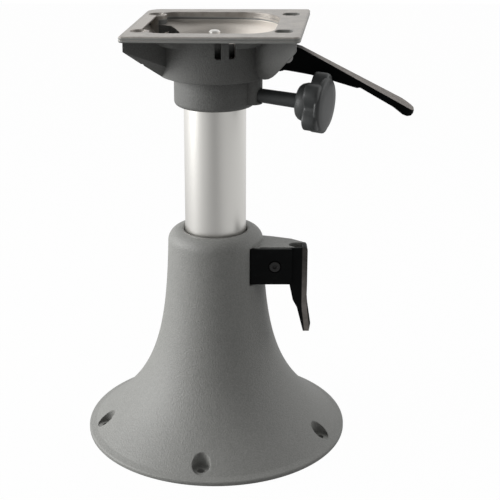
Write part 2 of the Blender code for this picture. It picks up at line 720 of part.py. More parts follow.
def wing_points(side, grow):
    """Corners of the hollow wing under one side of the plate. Grow is negative for the pocket inside it."""
    root_x = DRUM_RADIUS * math.sin(WING_ROOT_ANGLE)
    root_y = DRUM_RADIUS * math.cos(WING_ROOT_ANGLE) + 1.3 * grow
    tip_x = side * PLATE_CENTRE + PLATE_LENGTH / 2.0 - WING_INSET_X + grow
    tip_y = PLATE_WIDTH / 2.0 - WING_INSET_Y + 2.4 * grow
    points = []
    for sign in (-1.0, 1.0):
        points += [
            (side * root_x, sign * root_y, COLLAR_HEIGHT + WING_RISE - 1.6 * grow),
            (side * root_x, sign * root_y, PLATE_BOTTOM + OVER),
            (side * tip_x, sign * tip_y, WING_TIP - 1.6 * grow),
            (side * tip_x, sign * tip_y, PLATE_BOTTOM + OVER),
            (side * root_x * 0.5, sign * root_y * 0.5, COLLAR_HEIGHT + WING_RISE - 1.6 * grow),
            (side * root_x * 0.5, sign * root_y * 0.5, PLATE_BOTTOM + OVER),
        ]
        if side > 0.0:
            for share in (0.25, 0.6):
                height = COLLAR_HEIGHT + WING_RISE + (WING_TIP - COLLAR_HEIGHT - WING_RISE) * share - WING_BULGE
                points.append((root_x + (tip_x - root_x) * share, sign * (root_y + (tip_y - root_y) * share), height))
    return points


def make_seat_mount():
    left = PLATE_CENTRE - PLATE_LENGTH / 2.0
    right = PLATE_CENTRE + PLATE_LENGTH / 2.0
    half = PLATE_WIDTH / 2.0
    mount = prism("seat_mount", rounded_box(left, right, -half, half, PLATE_CORNER), PLATE_BOTTOM, PLATE_TOP)
    drum = revolve("drum", [
        (0.0, COLLAR_HEIGHT), (DRUM_RADIUS - 0.0012, COLLAR_HEIGHT), (DRUM_RADIUS, COLLAR_HEIGHT + 0.0012),
        (DRUM_RADIUS, PLATE_BOTTOM + OVER), (0.0, PLATE_BOTTOM + OVER),
    ], ROUND_LARGE)
    edge = arc((COLLAR_RADIUS - COLLAR_EDGE, COLLAR_EDGE - COLLAR_SKIRT), COLLAR_EDGE, -90.0, 0.0, 5)
    collar = revolve("collar", [(0.0, -COLLAR_SKIRT)] + edge + [(COLLAR_RADIUS, COLLAR_HEIGHT + OVER),
                                                      (0.0, COLLAR_HEIGHT + OVER)], ROUND_LARGE)
    boss = rod("knob_boss", polar(KNOB_BOSS_AXIS, KNOB_AZIMUTH, COLLAR_EDGE - COLLAR_SKIRT),
               polar(KNOB_BOSS_AXIS, KNOB_AZIMUTH, COLLAR_HEIGHT + OVER), KNOB_BOSS, 24)
    join(mount, drum, hull("wing_left", wing_points(-1.0, 0.0)), hull("wing_right", wing_points(1.0, 0.0)), collar, boss)

    opening = prism("opening", rounded_box(OPENING_LEFT, OPENING_RIGHT, -OPENING_Y, OPENING_Y, OPENING_CORNER, 6),
                    RIM_FLOOR, PLATE_TOP + OVER)
    dish = revolve("dish", [(0.0, RIM_FLOOR + OVER), (DISH_RADIUS, RIM_FLOOR + OVER)] + dish_profile()
                   + [(0.0, DISH_FLOOR)], ROUND_LARGE)
    pocket = hull("pocket", [(x, y, z + (OVER if z > PLATE_BOTTOM else 0.0))
                             for x, y, z in wing_points(-1.0, -WING_WALL)])
    wall = rod("wall", (0, 0, 0), (0, 0, PLATE_TOP + 2 * OVER), DISH_RADIUS + 0.0035, ROUND_LARGE)
    fence = prism("fence", [(OPENING_LEFT - 0.03, -0.09), (OPENING_LEFT + 0.0005, -0.09),
                            (OPENING_LEFT + 0.0005, 0.09), (OPENING_LEFT - 0.03, 0.09)], 0.0, PLATE_TOP + 2 * OVER)
    cut(pocket, wall, fence)
    gate = prism("gate", [(0.5 * DISH_RADIUS * x, 0.5 * DISH_RADIUS * y) for x, y in gate_corners()[:2]]
                 + [(1.12 * DISH_RADIUS * x, 1.12 * DISH_RADIUS * y) for x, y in gate_corners()[2:]],
                 GATE_SILL, RIM_FLOOR + OVER)
    join(opening, dish, pocket, gate)
    cut(opening, *boss_posts())
    cut(mount, opening)

    cavity = revolve("cavity", [
        (COLLAR_RADIUS, COLLAR_HEIGHT + DRUM_FLOOR), (DRUM_RADIUS - DRUM_WALL, COLLAR_HEIGHT + DRUM_FLOOR),
        (DRUM_RADIUS - DRUM_WALL, 0.0660), (COLLAR_RADIUS + 0.005, 0.0580), (COLLAR_RADIUS, 0.0520),
    ], ROUND_LARGE)
    bore = rod("bore", (0, 0, -OVER), (0, 0, COLLAR_CEILING), COLLAR_BORE, ROUND_LARGE)
    hub = rod("hub", (0, 0, COLLAR_CEILING - OVER), (0, 0, DISH_FLOOR + OVER), SPINDLE_RADIUS + GAP, 32)
    cut(mount, cavity, bore, hub)

    windows = []
    for side in (-1.0, 1.0):
        shift = side * (WINDOW_BAR + WINDOW_WIDTH) / 2.0
        outer = WINDOW_WIDTH / 2.0
        corner = 0.0025
        low = [(side * -outer, WINDOW_BOTTOM)]
        low += arc((side * (outer - corner), WINDOW_BOTTOM + corner), corner, 270.0, 270.0 + side * 90.0, 4)
        outline = [(shift + u, v) for u, v in low + [(side * outer, WINDOW_TOP), (side * -outer, WINDOW_TOP)]]
        slot = prism("window", outline, DRUM_RADIUS - DRUM_WALL - 0.001, DRUM_RADIUS + 0.01, "X")
        slot.matrix_world = Matrix.Rotation(WINDOW_AZIMUTH, 4, "Z")
        windows.append(slot)
    cut(mount, *windows)

    # Under the right side the wing is open, with two walls and two ears that hold the release lever.
    root_x = DRUM_RADIUS * math.sin(WING_ROOT_ANGLE)
    root_y = DRUM_RADIUS * math.cos(WING_ROOT_ANGLE)
    tip_x = right - WING_INSET_X
    tip_y = half - WING_INSET_Y
    slope = (tip_y - root_y) / (tip_x - root_x)
    wall = WING_WALL * math.sqrt(1.0 + slope * slope)
    ceiling = PLATE_BOTTOM - 0.0030
    near_x = math.sqrt(DRUM_RADIUS ** 2 - 0.02 ** 2)
    near_y = root_y + slope * (near_x - root_x) - wall
    far_x = right + 0.01
    far_y = root_y + slope * (far_x - root_x) - wall
    under = prism("under", [(near_x - 0.004, -near_y + 0.004), (near_x, -near_y), (far_x, -far_y), (far_x, far_y),
                            (near_x, near_y), (near_x - 0.004, near_y - 0.004)], 0.0, ceiling)
    round_drum = rod("round_drum", (0, 0, -OVER), (0, 0, PLATE_TOP), DRUM_RADIUS + GAP, ROUND_LARGE)
    ears = []
    for sign in (-1.0, 1.0):
        near = sign * (CHANNEL_ROOT + 0.0012)
        far = near + sign * EAR_THICKNESS
        shape = [(PIVOT_X + EAR_HALF_LENGTH, ceiling + OVER)]
        shape += arc((PIVOT_X, PIVOT_Z), EAR_RADIUS, 0.0, -100.0, 6)
        shape += [(DRUM_RADIUS - 0.004, EAR_FOOT), (DRUM_RADIUS - 0.004, ceiling + OVER)]
        ears.append(prism("ear", shape, min(near, far), max(near, far), "Y"))
    cut(under, round_drum, *ears)
    ear_reach = CHANNEL_ROOT + 0.0012 + EAR_THICKNESS
    pin_hole = rod("pin_hole", (PIVOT_X, -ear_reach - OVER, PIVOT_Z), (PIVOT_X, ear_reach + OVER, PIVOT_Z),
                   PIVOT_RADIUS + GAP, ROUND_PIN)
    brake_hole = rod("brake_hole", (COLLAR_BORE - 0.002, 0, BRAKE_PIN_Z), (DRUM_RADIUS + 0.01, 0, BRAKE_PIN_Z),
                     BRAKE_PIN_RADIUS + GAP, ROUND_PIN)
    stud_hole = rod("stud_hole", knob_point(COLLAR_BORE - 0.003), knob_point(KNOB_SEAT + OVER), KNOB_STUD + GAP, ROUND_PIN)
    seat = rod("seat", knob_point(KNOB_SEAT), knob_point(KNOB_BACK), KNOB_STEM + 2.0 * GAP, 24)
    cut(mount, under)
    cut(mount, pin_hole, brake_hole, stud_hole)
    cut(mount, seat)

    recesses = []
    holes = []
    floor = PLATE_TOP - HOLE_POCKET_DEPTH
    for x, y in seat_holes():
        outline = rounded_box(x - HOLE_POCKET, x + HOLE_POCKET, y - HOLE_POCKET, y + HOLE_POCKET, 0.0055, 4)
        recesses.append(prism("recess", outline, floor, PLATE_TOP + OVER))
        holes.append(rod("bolt", (x, y, 0.0), (x, y, floor + OVER), HOLE_RADIUS, ROUND_PIN))
    cut(mount, *recesses)
    cut(mount, *holes)
    return dress(mount, coat())


def make_head(head):
    mount = make_seat_mount()
    bush_top = TUBE_IN_COLLAR - 0.0005
    bush = revolve("swivel_bush", [
        (SLIDE_RADIUS, 0.0015), (SLIDE_RADIUS + SWIVEL_BUSH_WALL, 0.0015),
        (SLIDE_RADIUS + SWIVEL_BUSH_WALL, bush_top), (SLIDE_RADIUS, bush_top),
    ], ROUND_MEDIUM, nylon())
    thrust = revolve("thrust_washer", [
        (SPINDLE_RADIUS + 0.001, SPINDLE_TOP + GAP), (BRAKE_DRUM - 0.002, SPINDLE_TOP + GAP),
        (BRAKE_DRUM - 0.002, WASHER_TOP), (SPINDLE_RADIUS + 0.001, WASHER_TOP),
    ], ROUND_MEDIUM, nylon())
    ear_reach = CHANNEL_ROOT + 0.0012 + EAR_THICKNESS
    pin = rod("release_pivot_pin", (PIVOT_X, -ear_reach - 0.003, PIVOT_Z), (PIVOT_X, ear_reach + 0.003, PIVOT_Z),
              PIVOT_RADIUS, ROUND_PIN, steel())
    pieces = [mount, bush, thrust, pin]
    for sign, name in ((-1.0, "front_pin_clip"), (1.0, "rear_pin_clip")):
        near = sign * (ear_reach + GAP)
        far = near + sign * 0.0012
        ring = prism(name, circle((PIVOT_X, PIVOT_Z), 0.0055, ROUND_PIN), min(near, far), max(near, far), "Y")
        cut(ring, rod("bore", (PIVOT_X, near - 0.01, PIVOT_Z), (PIVOT_X, near + 0.01, PIVOT_Z),
                      PIVOT_RADIUS + GAP, ROUND_PIN))
        pieces.append(dress(ring, steel()))

    # The spring lies between the brake pin's collar and the wall of the drum.
    start = COLLAR_RADIUS + 0.0030
    end = DRUM_RADIUS - DRUM_WALL - GAP
    mean = BRAKE_PIN_RADIUS + GAP + SPRING_WIRE * 0.75
    curve = bpy.data.curves.new("brake_spring", "CURVE")
    curve.dimensions = "3D"
    curve.bevel_depth = SPRING_WIRE / 2.0
    curve.bevel_resolution = 1
    curve.use_fill_caps = True
    line = curve.splines.new("POLY")
    count = int(SPRING_TURNS * 10)
    line.points.add(count)
    first = start + SPRING_WIRE / 2.0
    last = end - SPRING_WIRE / 2.0
    for step in range(count + 1):
        turn = 2.0 * math.pi * SPRING_TURNS * step / count
        x = first + (last - first) * step / count
        line.points[step].co = (x, mean * math.cos(turn), BRAKE_PIN_Z + mean * math.sin(turn), 1.0)
    spring = bpy.data.objects.new("brake_spring", curve)
    curve.materials.append(steel())
    bpy.context.scene.collection.objects.link(spring)
    spring.parent = head
    for piece in pieces:
        piece.parent = head


# Tension knob


def make_knob(knob_axis):
    """The knob's own X runs outwards along its stem."""
    seat = KNOB_SEAT + GAP
    bore_end = 0.0580
    stem = [
        (0.0, bore_end), (KNOB_STUD + GAP, bore_end), (KNOB_STUD + GAP, seat), (KNOB_STEM - 0.0004, seat),
        (KNOB_STEM, KNOB_BACK), (0.64 * KNOB_HUB, KNOB_BACK + 0.0008), (0.90 * KNOB_HUB, KNOB_BACK + 0.0038),
        (KNOB_HUB, KNOB_BACK + 0.0090), (KNOB_HUB, KNOB_DISC), (KNOB_DISC_RADIUS - 0.0010, KNOB_DISC),
        (KNOB_DISC_RADIUS, KNOB_DISC + 0.0015), (KNOB_DISC_RADIUS, KNOB_FACE - 0.0040),
        (KNOB_DISC_RADIUS - 0.0014, KNOB_FACE - 0.0019), (KNOB_DISC_RADIUS - 0.0055, KNOB_FACE - 0.0006),
        (0.0, KNOB_FACE),
    ]
    knob = revolve("tension_knob", stem, 40)
    outline = []
    steps = 90
    for step in range(steps):
        angle = 2.0 * math.pi * step / steps
        hollow = 0.5 - 0.5 * math.sin(KNOB_LOBES * angle)
        radius = KNOB_RADIUS - KNOB_NOTCH * hollow ** 1.6
        outline.append((radius * math.cos(angle), radius * math.sin(angle)))
    bm = bmesh.new()
    rings = []
    for scale, height in ((0.88, KNOB_GRIP), (1.0, KNOB_GRIP + 0.0028), (1.0, KNOB_DISC + 0.0010), (0.955, KNOB_DISC + 0.0030)):
        rings.append([bm.verts.new((u * scale, v * scale, height)) for u, v in outline])
    for low, high in zip(rings, rings[1:]):
        for here in range(steps):
            there = (here + 1) % steps
            bm.faces.new((low[here], low[there], high[there], high[here]))
    bm.faces.new(rings[0])
    bm.faces.new(rings[-1])
    join(knob, to_object("grip", bm, None))
    dress(knob, black_plastic())
    stud = rod("knob_stud", (0, 0, COLLAR_BORE + GAP), (0, 0, bore_end - GAP), KNOB_STUD, ROUND_SMALL, steel())
    turn = Matrix.Rotation(math.pi / 2.0, 4, "Y")
    for piece in (knob, stud):
        piece.data.transform(turn)
        piece.parent = knob_axis


# Release lever


def make_release(lever_axis, slider):
    """Channel lever: side flanges that deepen towards the pivot, under a top strip that widens towards the tip."""
    top_root = (LEVER_ROOT_X + 0.025, 0.0580)
    top_tip = (LEVER_REACH - 0.0115, 0.0055)
    outline = [
        (LEVER_ROOT_X, 0.0310), (LEVER_ROOT_X + 0.006, 0.0300), (0.0970, 0.0320), (0.1165, 0.0280), (0.1430, 0.0215),
        (0.1790, 0.0028), (LEVER_REACH - 0.0095, -0.0042), (LEVER_REACH - 0.0055, -0.0057), (LEVER_REACH - 0.0022, -0.0052),
        (LEVER_REACH, -0.0026), (LEVER_REACH - 0.0002, 0.0004), top_tip, top_root,
        (LEVER_ROOT_X + 0.018, 0.0600), (LEVER_ROOT_X, 0.0600),
    ]
    lever = prism("release_lever", outline, -CHANNEL_TIP - 0.001, CHANNEL_TIP + 0.001, "Y")
    side = [
        (LEVER_ROOT_X - OVER, CHANNEL_ROOT), (0.0900, CHANNEL_ROOT), (0.1200, CHANNEL_ROOT + 0.0022),
        (LEVER_REACH - 0.012, CHANNEL_TIP), (LEVER_REACH - 0.003, CHANNEL_TIP - 0.0015),
        (LEVER_REACH + OVER, CHANNEL_TIP - 0.0060),
    ]
    plan = side + [(x, -y) for x, y in reversed(side)]
    combine(lever, [prism("plan", plan, -0.05, 0.1)], "INTERSECT")
    inside = [(x, y - CHANNEL_SHEET) for x, y in side[:4]]
    room_plan = [(inside[0][0] - OVER, inside[0][1])] + inside[1:] + [(LEVER_REACH - 0.0105, CHANNEL_TIP - 0.0045)]
    room_plan += [(x, -y) for x, y in reversed(room_plan)]
    sheet = CHANNEL_SHEET
    below = [
        (LEVER_ROOT_X - 3 * OVER, -0.03), (LEVER_REACH - 0.0105, -0.03), (LEVER_REACH - 0.0105, 0.0020),
        (top_root[0], top_root[1] - sheet * 1.1), (LEVER_ROOT_X + 0.018, 0.0600 - sheet),
        (LEVER_ROOT_X - 3 * OVER, 0.0600 - sheet),
    ]
    room = prism("room", room_plan, -0.05, 0.1)
    combine(room, [prism("below", below, -0.03, 0.03, "Y")], "INTERSECT")
    hole = rod("hole", (PIVOT_X, -0.02, PIVOT_Z), (PIVOT_X, 0.02, PIVOT_Z), PIVOT_RADIUS + GAP, ROUND_PIN)
    link_x = LEVER_ROOT_X + 0.0045
    eye = rod("eye", (link_x, -0.02, BRAKE_PIN_Z), (link_x, 0.02, BRAKE_PIN_Z), LINK_RADIUS + GAP, 16)
    cut(lever, room, hole, eye)
    dress(lever, black_paint())
    link = rod("release_link_pin", (link_x, -CHANNEL_ROOT - 0.0005, BRAKE_PIN_Z),
               (link_x, CHANNEL_ROOT + 0.0005, BRAKE_PIN_Z), LINK_RADIUS, 16, steel())
    for piece in (lever, link):
        carry(piece, lever_axis, (PIVOT_X, 0.0, PIVOT_Z))

    tip = BRAKE_DRUM + 0.0022
    pin = rod("brake_pin", (tip, 0, BRAKE_PIN_Z), (link_x + 0.0045, 0, BRAKE_PIN_Z), BRAKE_PIN_RADIUS, ROUND_PIN)
    ring_x = COLLAR_RADIUS + 0.0010
    ring = rod("ring", (ring_x, 0, BRAKE_PIN_Z), (ring_x + 0.0017, 0, BRAKE_PIN_Z), BRAKE_PIN_RADIUS + 0.0015, ROUND_SMALL)
    join(pin, ring)
    notch_half = LINK_RADIUS + GAP
    notch = arc((link_x, BRAKE_PIN_Z), notch_half, 0.0, 180.0, 8)
    notch += [(link_x - notch_half, BRAKE_PIN_Z - 0.01), (link_x + notch_half, BRAKE_PIN_Z - 0.01)]
    slot = prism("slot", notch, -0.02, 0.02, "Y")
    cut(pin, slot)
    dress(pin, steel())
    pad = rod("brake_pin_pad", (BRAKE_DRUM + 0.0003, 0, BRAKE_PIN_Z), (tip - GAP, 0, BRAKE_PIN_Z),
              BRAKE_PIN_RADIUS - 0.0004, ROUND_PIN, nylon())
    for piece in (pin, pad):
        carry(piece, slider, (DRUM_RADIUS, 0.0, BRAKE_PIN_Z))


def main():
    for old in list(bpy.data.objects):
        bpy.data.objects.remove(old)
    make_bell()
    make_bushes()
    lock_axis = holder("lock_lever_axis", (LEVER_X, 0.0, LEVER_Z))
    make_lock(lock_axis)
    column = holder("column_slide", (0.0, 0.0, COLLAR_Z))
    make_column(column)
    head = holder("head_swivel", (0.0, 0.0, COLLAR_Z), None, HEAD_YAW)
    make_head(head)
    knob_axis = holder("knob_axis", (0.0, 0.0, KNOB_Z), head, KNOB_AZIMUTH, KNOB_DIP)
    make_knob(knob_axis)
    release_axis = holder("release_lever_axis", (PIVOT_X, 0.0, PIVOT_Z), head)
    slider = holder("brake_pin_slide", (DRUM_RADIUS, 0.0, BRAKE_PIN_Z), head)
    make_release(release_axis, slider)
    bpy.context.view_layer.update()


main()
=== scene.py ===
"""Looks of the boat seat pedestal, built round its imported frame."""

import logging
import math
from dataclasses import dataclass
from enum import Enum
from typing import Iterable, Sequence

import bmesh
import bpy
from mathutils import Matrix, Vector


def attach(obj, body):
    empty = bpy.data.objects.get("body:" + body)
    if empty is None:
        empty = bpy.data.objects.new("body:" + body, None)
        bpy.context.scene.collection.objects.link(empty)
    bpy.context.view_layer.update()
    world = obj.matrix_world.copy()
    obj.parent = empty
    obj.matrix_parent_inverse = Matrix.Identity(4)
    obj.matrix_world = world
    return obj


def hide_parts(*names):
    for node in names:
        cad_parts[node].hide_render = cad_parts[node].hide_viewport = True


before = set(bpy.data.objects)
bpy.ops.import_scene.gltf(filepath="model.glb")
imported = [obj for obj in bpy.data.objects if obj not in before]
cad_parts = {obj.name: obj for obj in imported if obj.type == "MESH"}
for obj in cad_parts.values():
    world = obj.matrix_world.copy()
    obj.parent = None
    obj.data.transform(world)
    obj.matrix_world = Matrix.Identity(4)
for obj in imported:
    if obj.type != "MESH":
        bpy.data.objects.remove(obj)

log = logging.getLogger("pedestal")

GAP = 0.0003
OVER = 0.002
WELD = 0.000004
TUBE_RADIUS = 0.03175
COLLAR_Z = 0.3595
LEVER_X = 0.0613
LEVER_Z = 0.1932
LUG_FRONT = -0.0275
LUG_STEP = -0.0127
LUG_REAR = 0.0110
LUG_END = 0.0276
LUG_TOP = LEVER_Z + 0.0192
LUG_BOTTOM = LEVER_Z - 0.0194
CHEEK = 0.0025
SHAFT_HOLE = 0.0043
HEAD = Matrix.Translation((0.0, 0.0, COLLAR_Z)) @ Matrix.Rotation(math.radians(-6.5), 4, "Z")

# Places in the head's own frame
PIVOT_X = 0.0740
PIVOT_Z = 0.0500
PIVOT_HOLE = 0.0033
LINK_Z = 0.0381
KNOB_AZIMUTH = math.radians(-16.5)
KNOB_DIP = math.radians(3.0)
KNOB_Z = 0.0138

Point2 = tuple[float, float]
Point3 = tuple[float, float, float]
Colour = tuple[float, float, float]
Outline = list[Point2]


class Along(Enum):
    """Axis that an outline is drawn out along."""

    X = "X"
    Y = "Y"
    Z = "Z"

    def put(self, u: float, v: float, w: float) -> Point3:
        """Turns outline coordinates and a height into a place."""
        return {"X": (w, u, v), "Y": (u, w, v), "Z": (u, v, w)}[self.value]


class Join(Enum):
    """Boolean operations."""

    CUT = "DIFFERENCE"
    ADD = "UNION"
    MEET = "INTERSECT"


# Shader maths

# Sockets of the Mix node when it mixes colours
MIX_FACTOR, MIX_FIRST, MIX_SECOND, MIX_RESULT = 0, 6, 7, 2


class Shade:
    """A socket that takes part in Python expressions."""

    def __init__(self, bench: "Bench", socket: bpy.types.NodeSocket) -> None:
        """Wraps one output socket of a bench."""
        self.bench = bench
        self.socket = socket

    def __add__(self, other: "Shade | float") -> "Shade":
        """Sum of two values."""
        return self.bench.maths("ADD", self, other)

    def __sub__(self, other: "Shade | float") -> "Shade":
        """Difference of two values."""
        return self.bench.maths("SUBTRACT", self, other)

    def __rsub__(self, other: float) -> "Shade":
        """Difference with a number on the left."""
        return self.bench.maths("SUBTRACT", other, self)

    def __neg__(self) -> "Shade":
        """The value with the other sign."""
        return 0.0 - self

    def __abs__(self) -> "Shade":
        """The value without its sign."""
        return self.bench.maths("ABSOLUTE", self, 0.0)

    def __mul__(self, other: "Shade | float") -> "Shade":
        """Product of two values."""
        return self.bench.maths("MULTIPLY", self, other)

    def __pow__(self, other: float) -> "Shade":
        """Power of a value."""
        return self.bench.maths("POWER", self, other)

    __radd__ = __add__
    __rmul__ = __mul__

    def most(self, other: "Shade | float") -> "Shade":
        """The larger of two values."""
        return self.bench.maths("MAXIMUM", self, other)

    def under(self, limit: float) -> "Shade":
        """1 where the value is under a limit, and 0 elsewhere."""
        return self.bench.maths("LESS_THAN", self, limit)

    def axis(self, name: str) -> "Shade":
        """One component of a vector."""
        return self.bench.node("ShaderNodeSeparateXYZ", None, {0: self}, name)

    def ramp(self, low: float, high: float, start: float = 0.0, end: float = 1.0) -> "Shade":
        """Smooth step of the value.

        Args:
            low: value at which the step starts.
            high: value at which it ends.
            start: result at low.
            end: result at high.

        Returns:
            The result, held between start and end.
        """
        settings = {"interpolation_type": "SMOOTHSTEP", "clamp": True}
        inputs = {"Value": self, "From Min": low, "From Max": high, "To Min": start, "To Max": end}
        return self.bench.node("ShaderNodeMapRange", settings, inputs)

    def between(self, low: float, high: float, soft: float) -> "Shade":
        """1 between two values, falling to 0 over a soft border."""
        return self.ramp(low - soft, low + soft) * self.ramp(high - soft, high + soft, 1.0, 0.0)


class Bench:
    """Node tree of a material or a world, with the few calls that the finishes need."""

    def __init__(self, tree: bpy.types.NodeTree) -> None:
        """Empties the tree."""
        self.tree = tree
        tree.nodes.clear()

    def set(self, socket: bpy.types.NodeSocket, value: "Shade | float | Sequence[float]") -> None:
        """Links a value to an input, or writes a constant on it.

        Args:
            socket: the input.
            value: what it gets.
        """
        if isinstance(value, Shade):
            self.tree.links.new(value.socket, socket)
        else:
            socket.default_value = value

    def node(self, kind: str, settings: dict | None = None, inputs: dict | None = None,
             output: str | int = 0) -> Shade:
        """Adds a node.

        Args:
            kind: Blender's type name.
            settings: properties, set first.
            inputs: values or links by socket name or number.
            output: the output that is handed back.

        Returns:
            The output, ready for an expression.
        """
        made = self.tree.nodes.new(kind)
        for name, value in (settings or {}).items():
            setattr(made, name, value)
        for name, value in (inputs or {}).items():
            self.set(made.inputs[name], value)
        return Shade(self, made.outputs[output])

    def close(self, kind: str, surface: Shade) -> None:
        """Ends the tree in an output node."""
        end = self.tree.nodes.new(kind)
        self.set(end.inputs["Surface"], surface)

    def maths(self, operation: str, left: "Shade | float", right: "Shade | float") -> Shade:
        """Adds a Math node on two values."""
        return self.node("ShaderNodeMath", {"operation": operation}, {0: left, 1: right})

    def mix(self, factor: "Shade | float", first: "Shade | Colour", second: "Shade | Colour") -> Shade:
        """Mixes two colours.

        Args:
            factor: share of the second colour.
            first: colour at 0.
            second: colour at 1.

        Returns:
            The mixed colour.
        """
        def rgba(value: "Shade | Colour") -> "Shade | tuple[float, ...]":
            """Adds the alpha of a plain colour."""
            return value if isinstance(value, Shade) else (*value, 1.0)

        inputs = {MIX_FACTOR: factor, MIX_FIRST: rgba(first), MIX_SECOND: rgba(second)}
        return self.node("ShaderNodeMix", {"data_type": "RGBA"}, inputs, MIX_RESULT)

    def place(self, stretch: Point3 = (1.0, 1.0, 1.0)) -> Shade:
        """Place on the object in metres, stretched along each axis."""
        here = self.node("ShaderNodeTexCoord", output="Object")
        return self.node("ShaderNodeVectorMath", {"operation": "MULTIPLY"}, {0: here, 1: stretch})

    def facing(self) -> Shade:
        """Direction of the surface in the object's own axes."""
        return self.node("ShaderNodeTexCoord", output="Normal")

    def noise(self, place: Shade, size: float, detail: float = 2.0, rough: float = 0.5) -> Shade:
        """Noise whose features are about one size across, in metres."""
        inputs = {"Vector": place, "Scale": 1.0 / size, "Detail": detail, "Roughness": rough}
        return self.node("ShaderNodeTexNoise", None, inputs)

    def bump(self, height: Shade, distance: float, under: Shade) -> Shade:
        """Bump of a height in metres, over another normal."""
        inputs = {"Height": height, "Distance": distance, "Strength": 1.0, "Normal": under}
        return self.node("ShaderNodeBump", None, inputs)

    def soft_edges(self, radius: float) -> Shade:
        """Normal that rounds the edges of a cast or moulded piece."""
        return self.node("ShaderNodeBevel", {"samples": 6}, {"Radius": radius})


# Finishes

# Tint of the painted reflection that the black levers show along their lit edges.
REFLECTED_TINT: Colour = (0.225, 0.205, 0.190)


def scaled(colour: Colour, factor: float) -> Colour:
    """Colour made lighter or darker."""
    return tuple(min(1.0, value * factor) for value in colour)


@dataclass(frozen=True)
class Finish:
    """A finish with a base colour, a roughness and a rounding of its edges."""

    name: str
    colour: Colour
    roughness: float
    metallic: float = 0.0
    edge: float = 0.0006
    specular: float = 0.5

    def describe(self, bench: Bench, edges: Shade) -> dict[str, "Shade | float"]:
        """Shader inputs that vary over the surface."""
        return {"Normal": edges}

    def make(self) -> bpy.types.Material:
        """Builds the material once and hands it out after that."""
        found = bpy.data.materials.get(self.name)
        if found is not None:
            return found
        made = bpy.data.materials.new(self.name)
        made.use_nodes = True
        bench = Bench(made.node_tree)
        inputs = {"Base Color": (*self.colour, 1.0), "Roughness": self.roughness, "Metallic": self.metallic,
                  "Specular IOR Level": self.specular}
        inputs.update(self.describe(bench, bench.soft_edges(self.edge)))
        bench.close("ShaderNodeOutputMaterial", bench.node("ShaderNodeBsdfPrincipled", None, inputs, "BSDF"))
        made.diffuse_color = (*self.colour, 1.0)
        return made


@dataclass(frozen=True)
class PowderCoat(Finish):
    """Powder coat with a fine pebbled texture over a casting."""

    pebble: float = 0.0015
    depth: float = 0.00055
    mottle: float = 0.012

    def tone(self, bench: Bench, here: Shade, pebbles: Shade, patches: Shade) -> Shade:
        """Colour of the coat.

        Args:
            bench: node tree of the material.
            here: place on the object.
            pebbles: the fine noise.
            patches: the coarser noise.

        Returns:
            The colour.
        """
        clouds = bench.noise(here, 0.07, 2.0, 0.5)
        blend = patches * 0.15 + clouds * 0.10 + pebbles * 0.75
        return bench.mix(blend.ramp(0.33, 0.67), scaled(self.colour, 0.89), scaled(self.colour, 1.12))

    def describe(self, bench: Bench, edges: Shade) -> dict[str, "Shade | float"]:
        """Pebbled bump, slight mottling, and roughness that follows the pebbles.

        Args:
            bench: node tree of the material.
            edges: normal that rounds the edges.

        Returns:
            Values and links by input name.
        """
        here = bench.place()
        pebbles = bench.noise(here, self.pebble, 3.0, 0.55)
        patches = bench.noise(here, self.mottle, 4.0, 0.6)
        return {
            "Base Color": self.tone(bench, here, pebbles, patches),
            "Roughness": self.roughness - 0.06 + patches * 0.06 + pebbles * 0.08,
            "Normal": bench.bump(pebbles + patches * 0.15, self.depth, edges),
        }


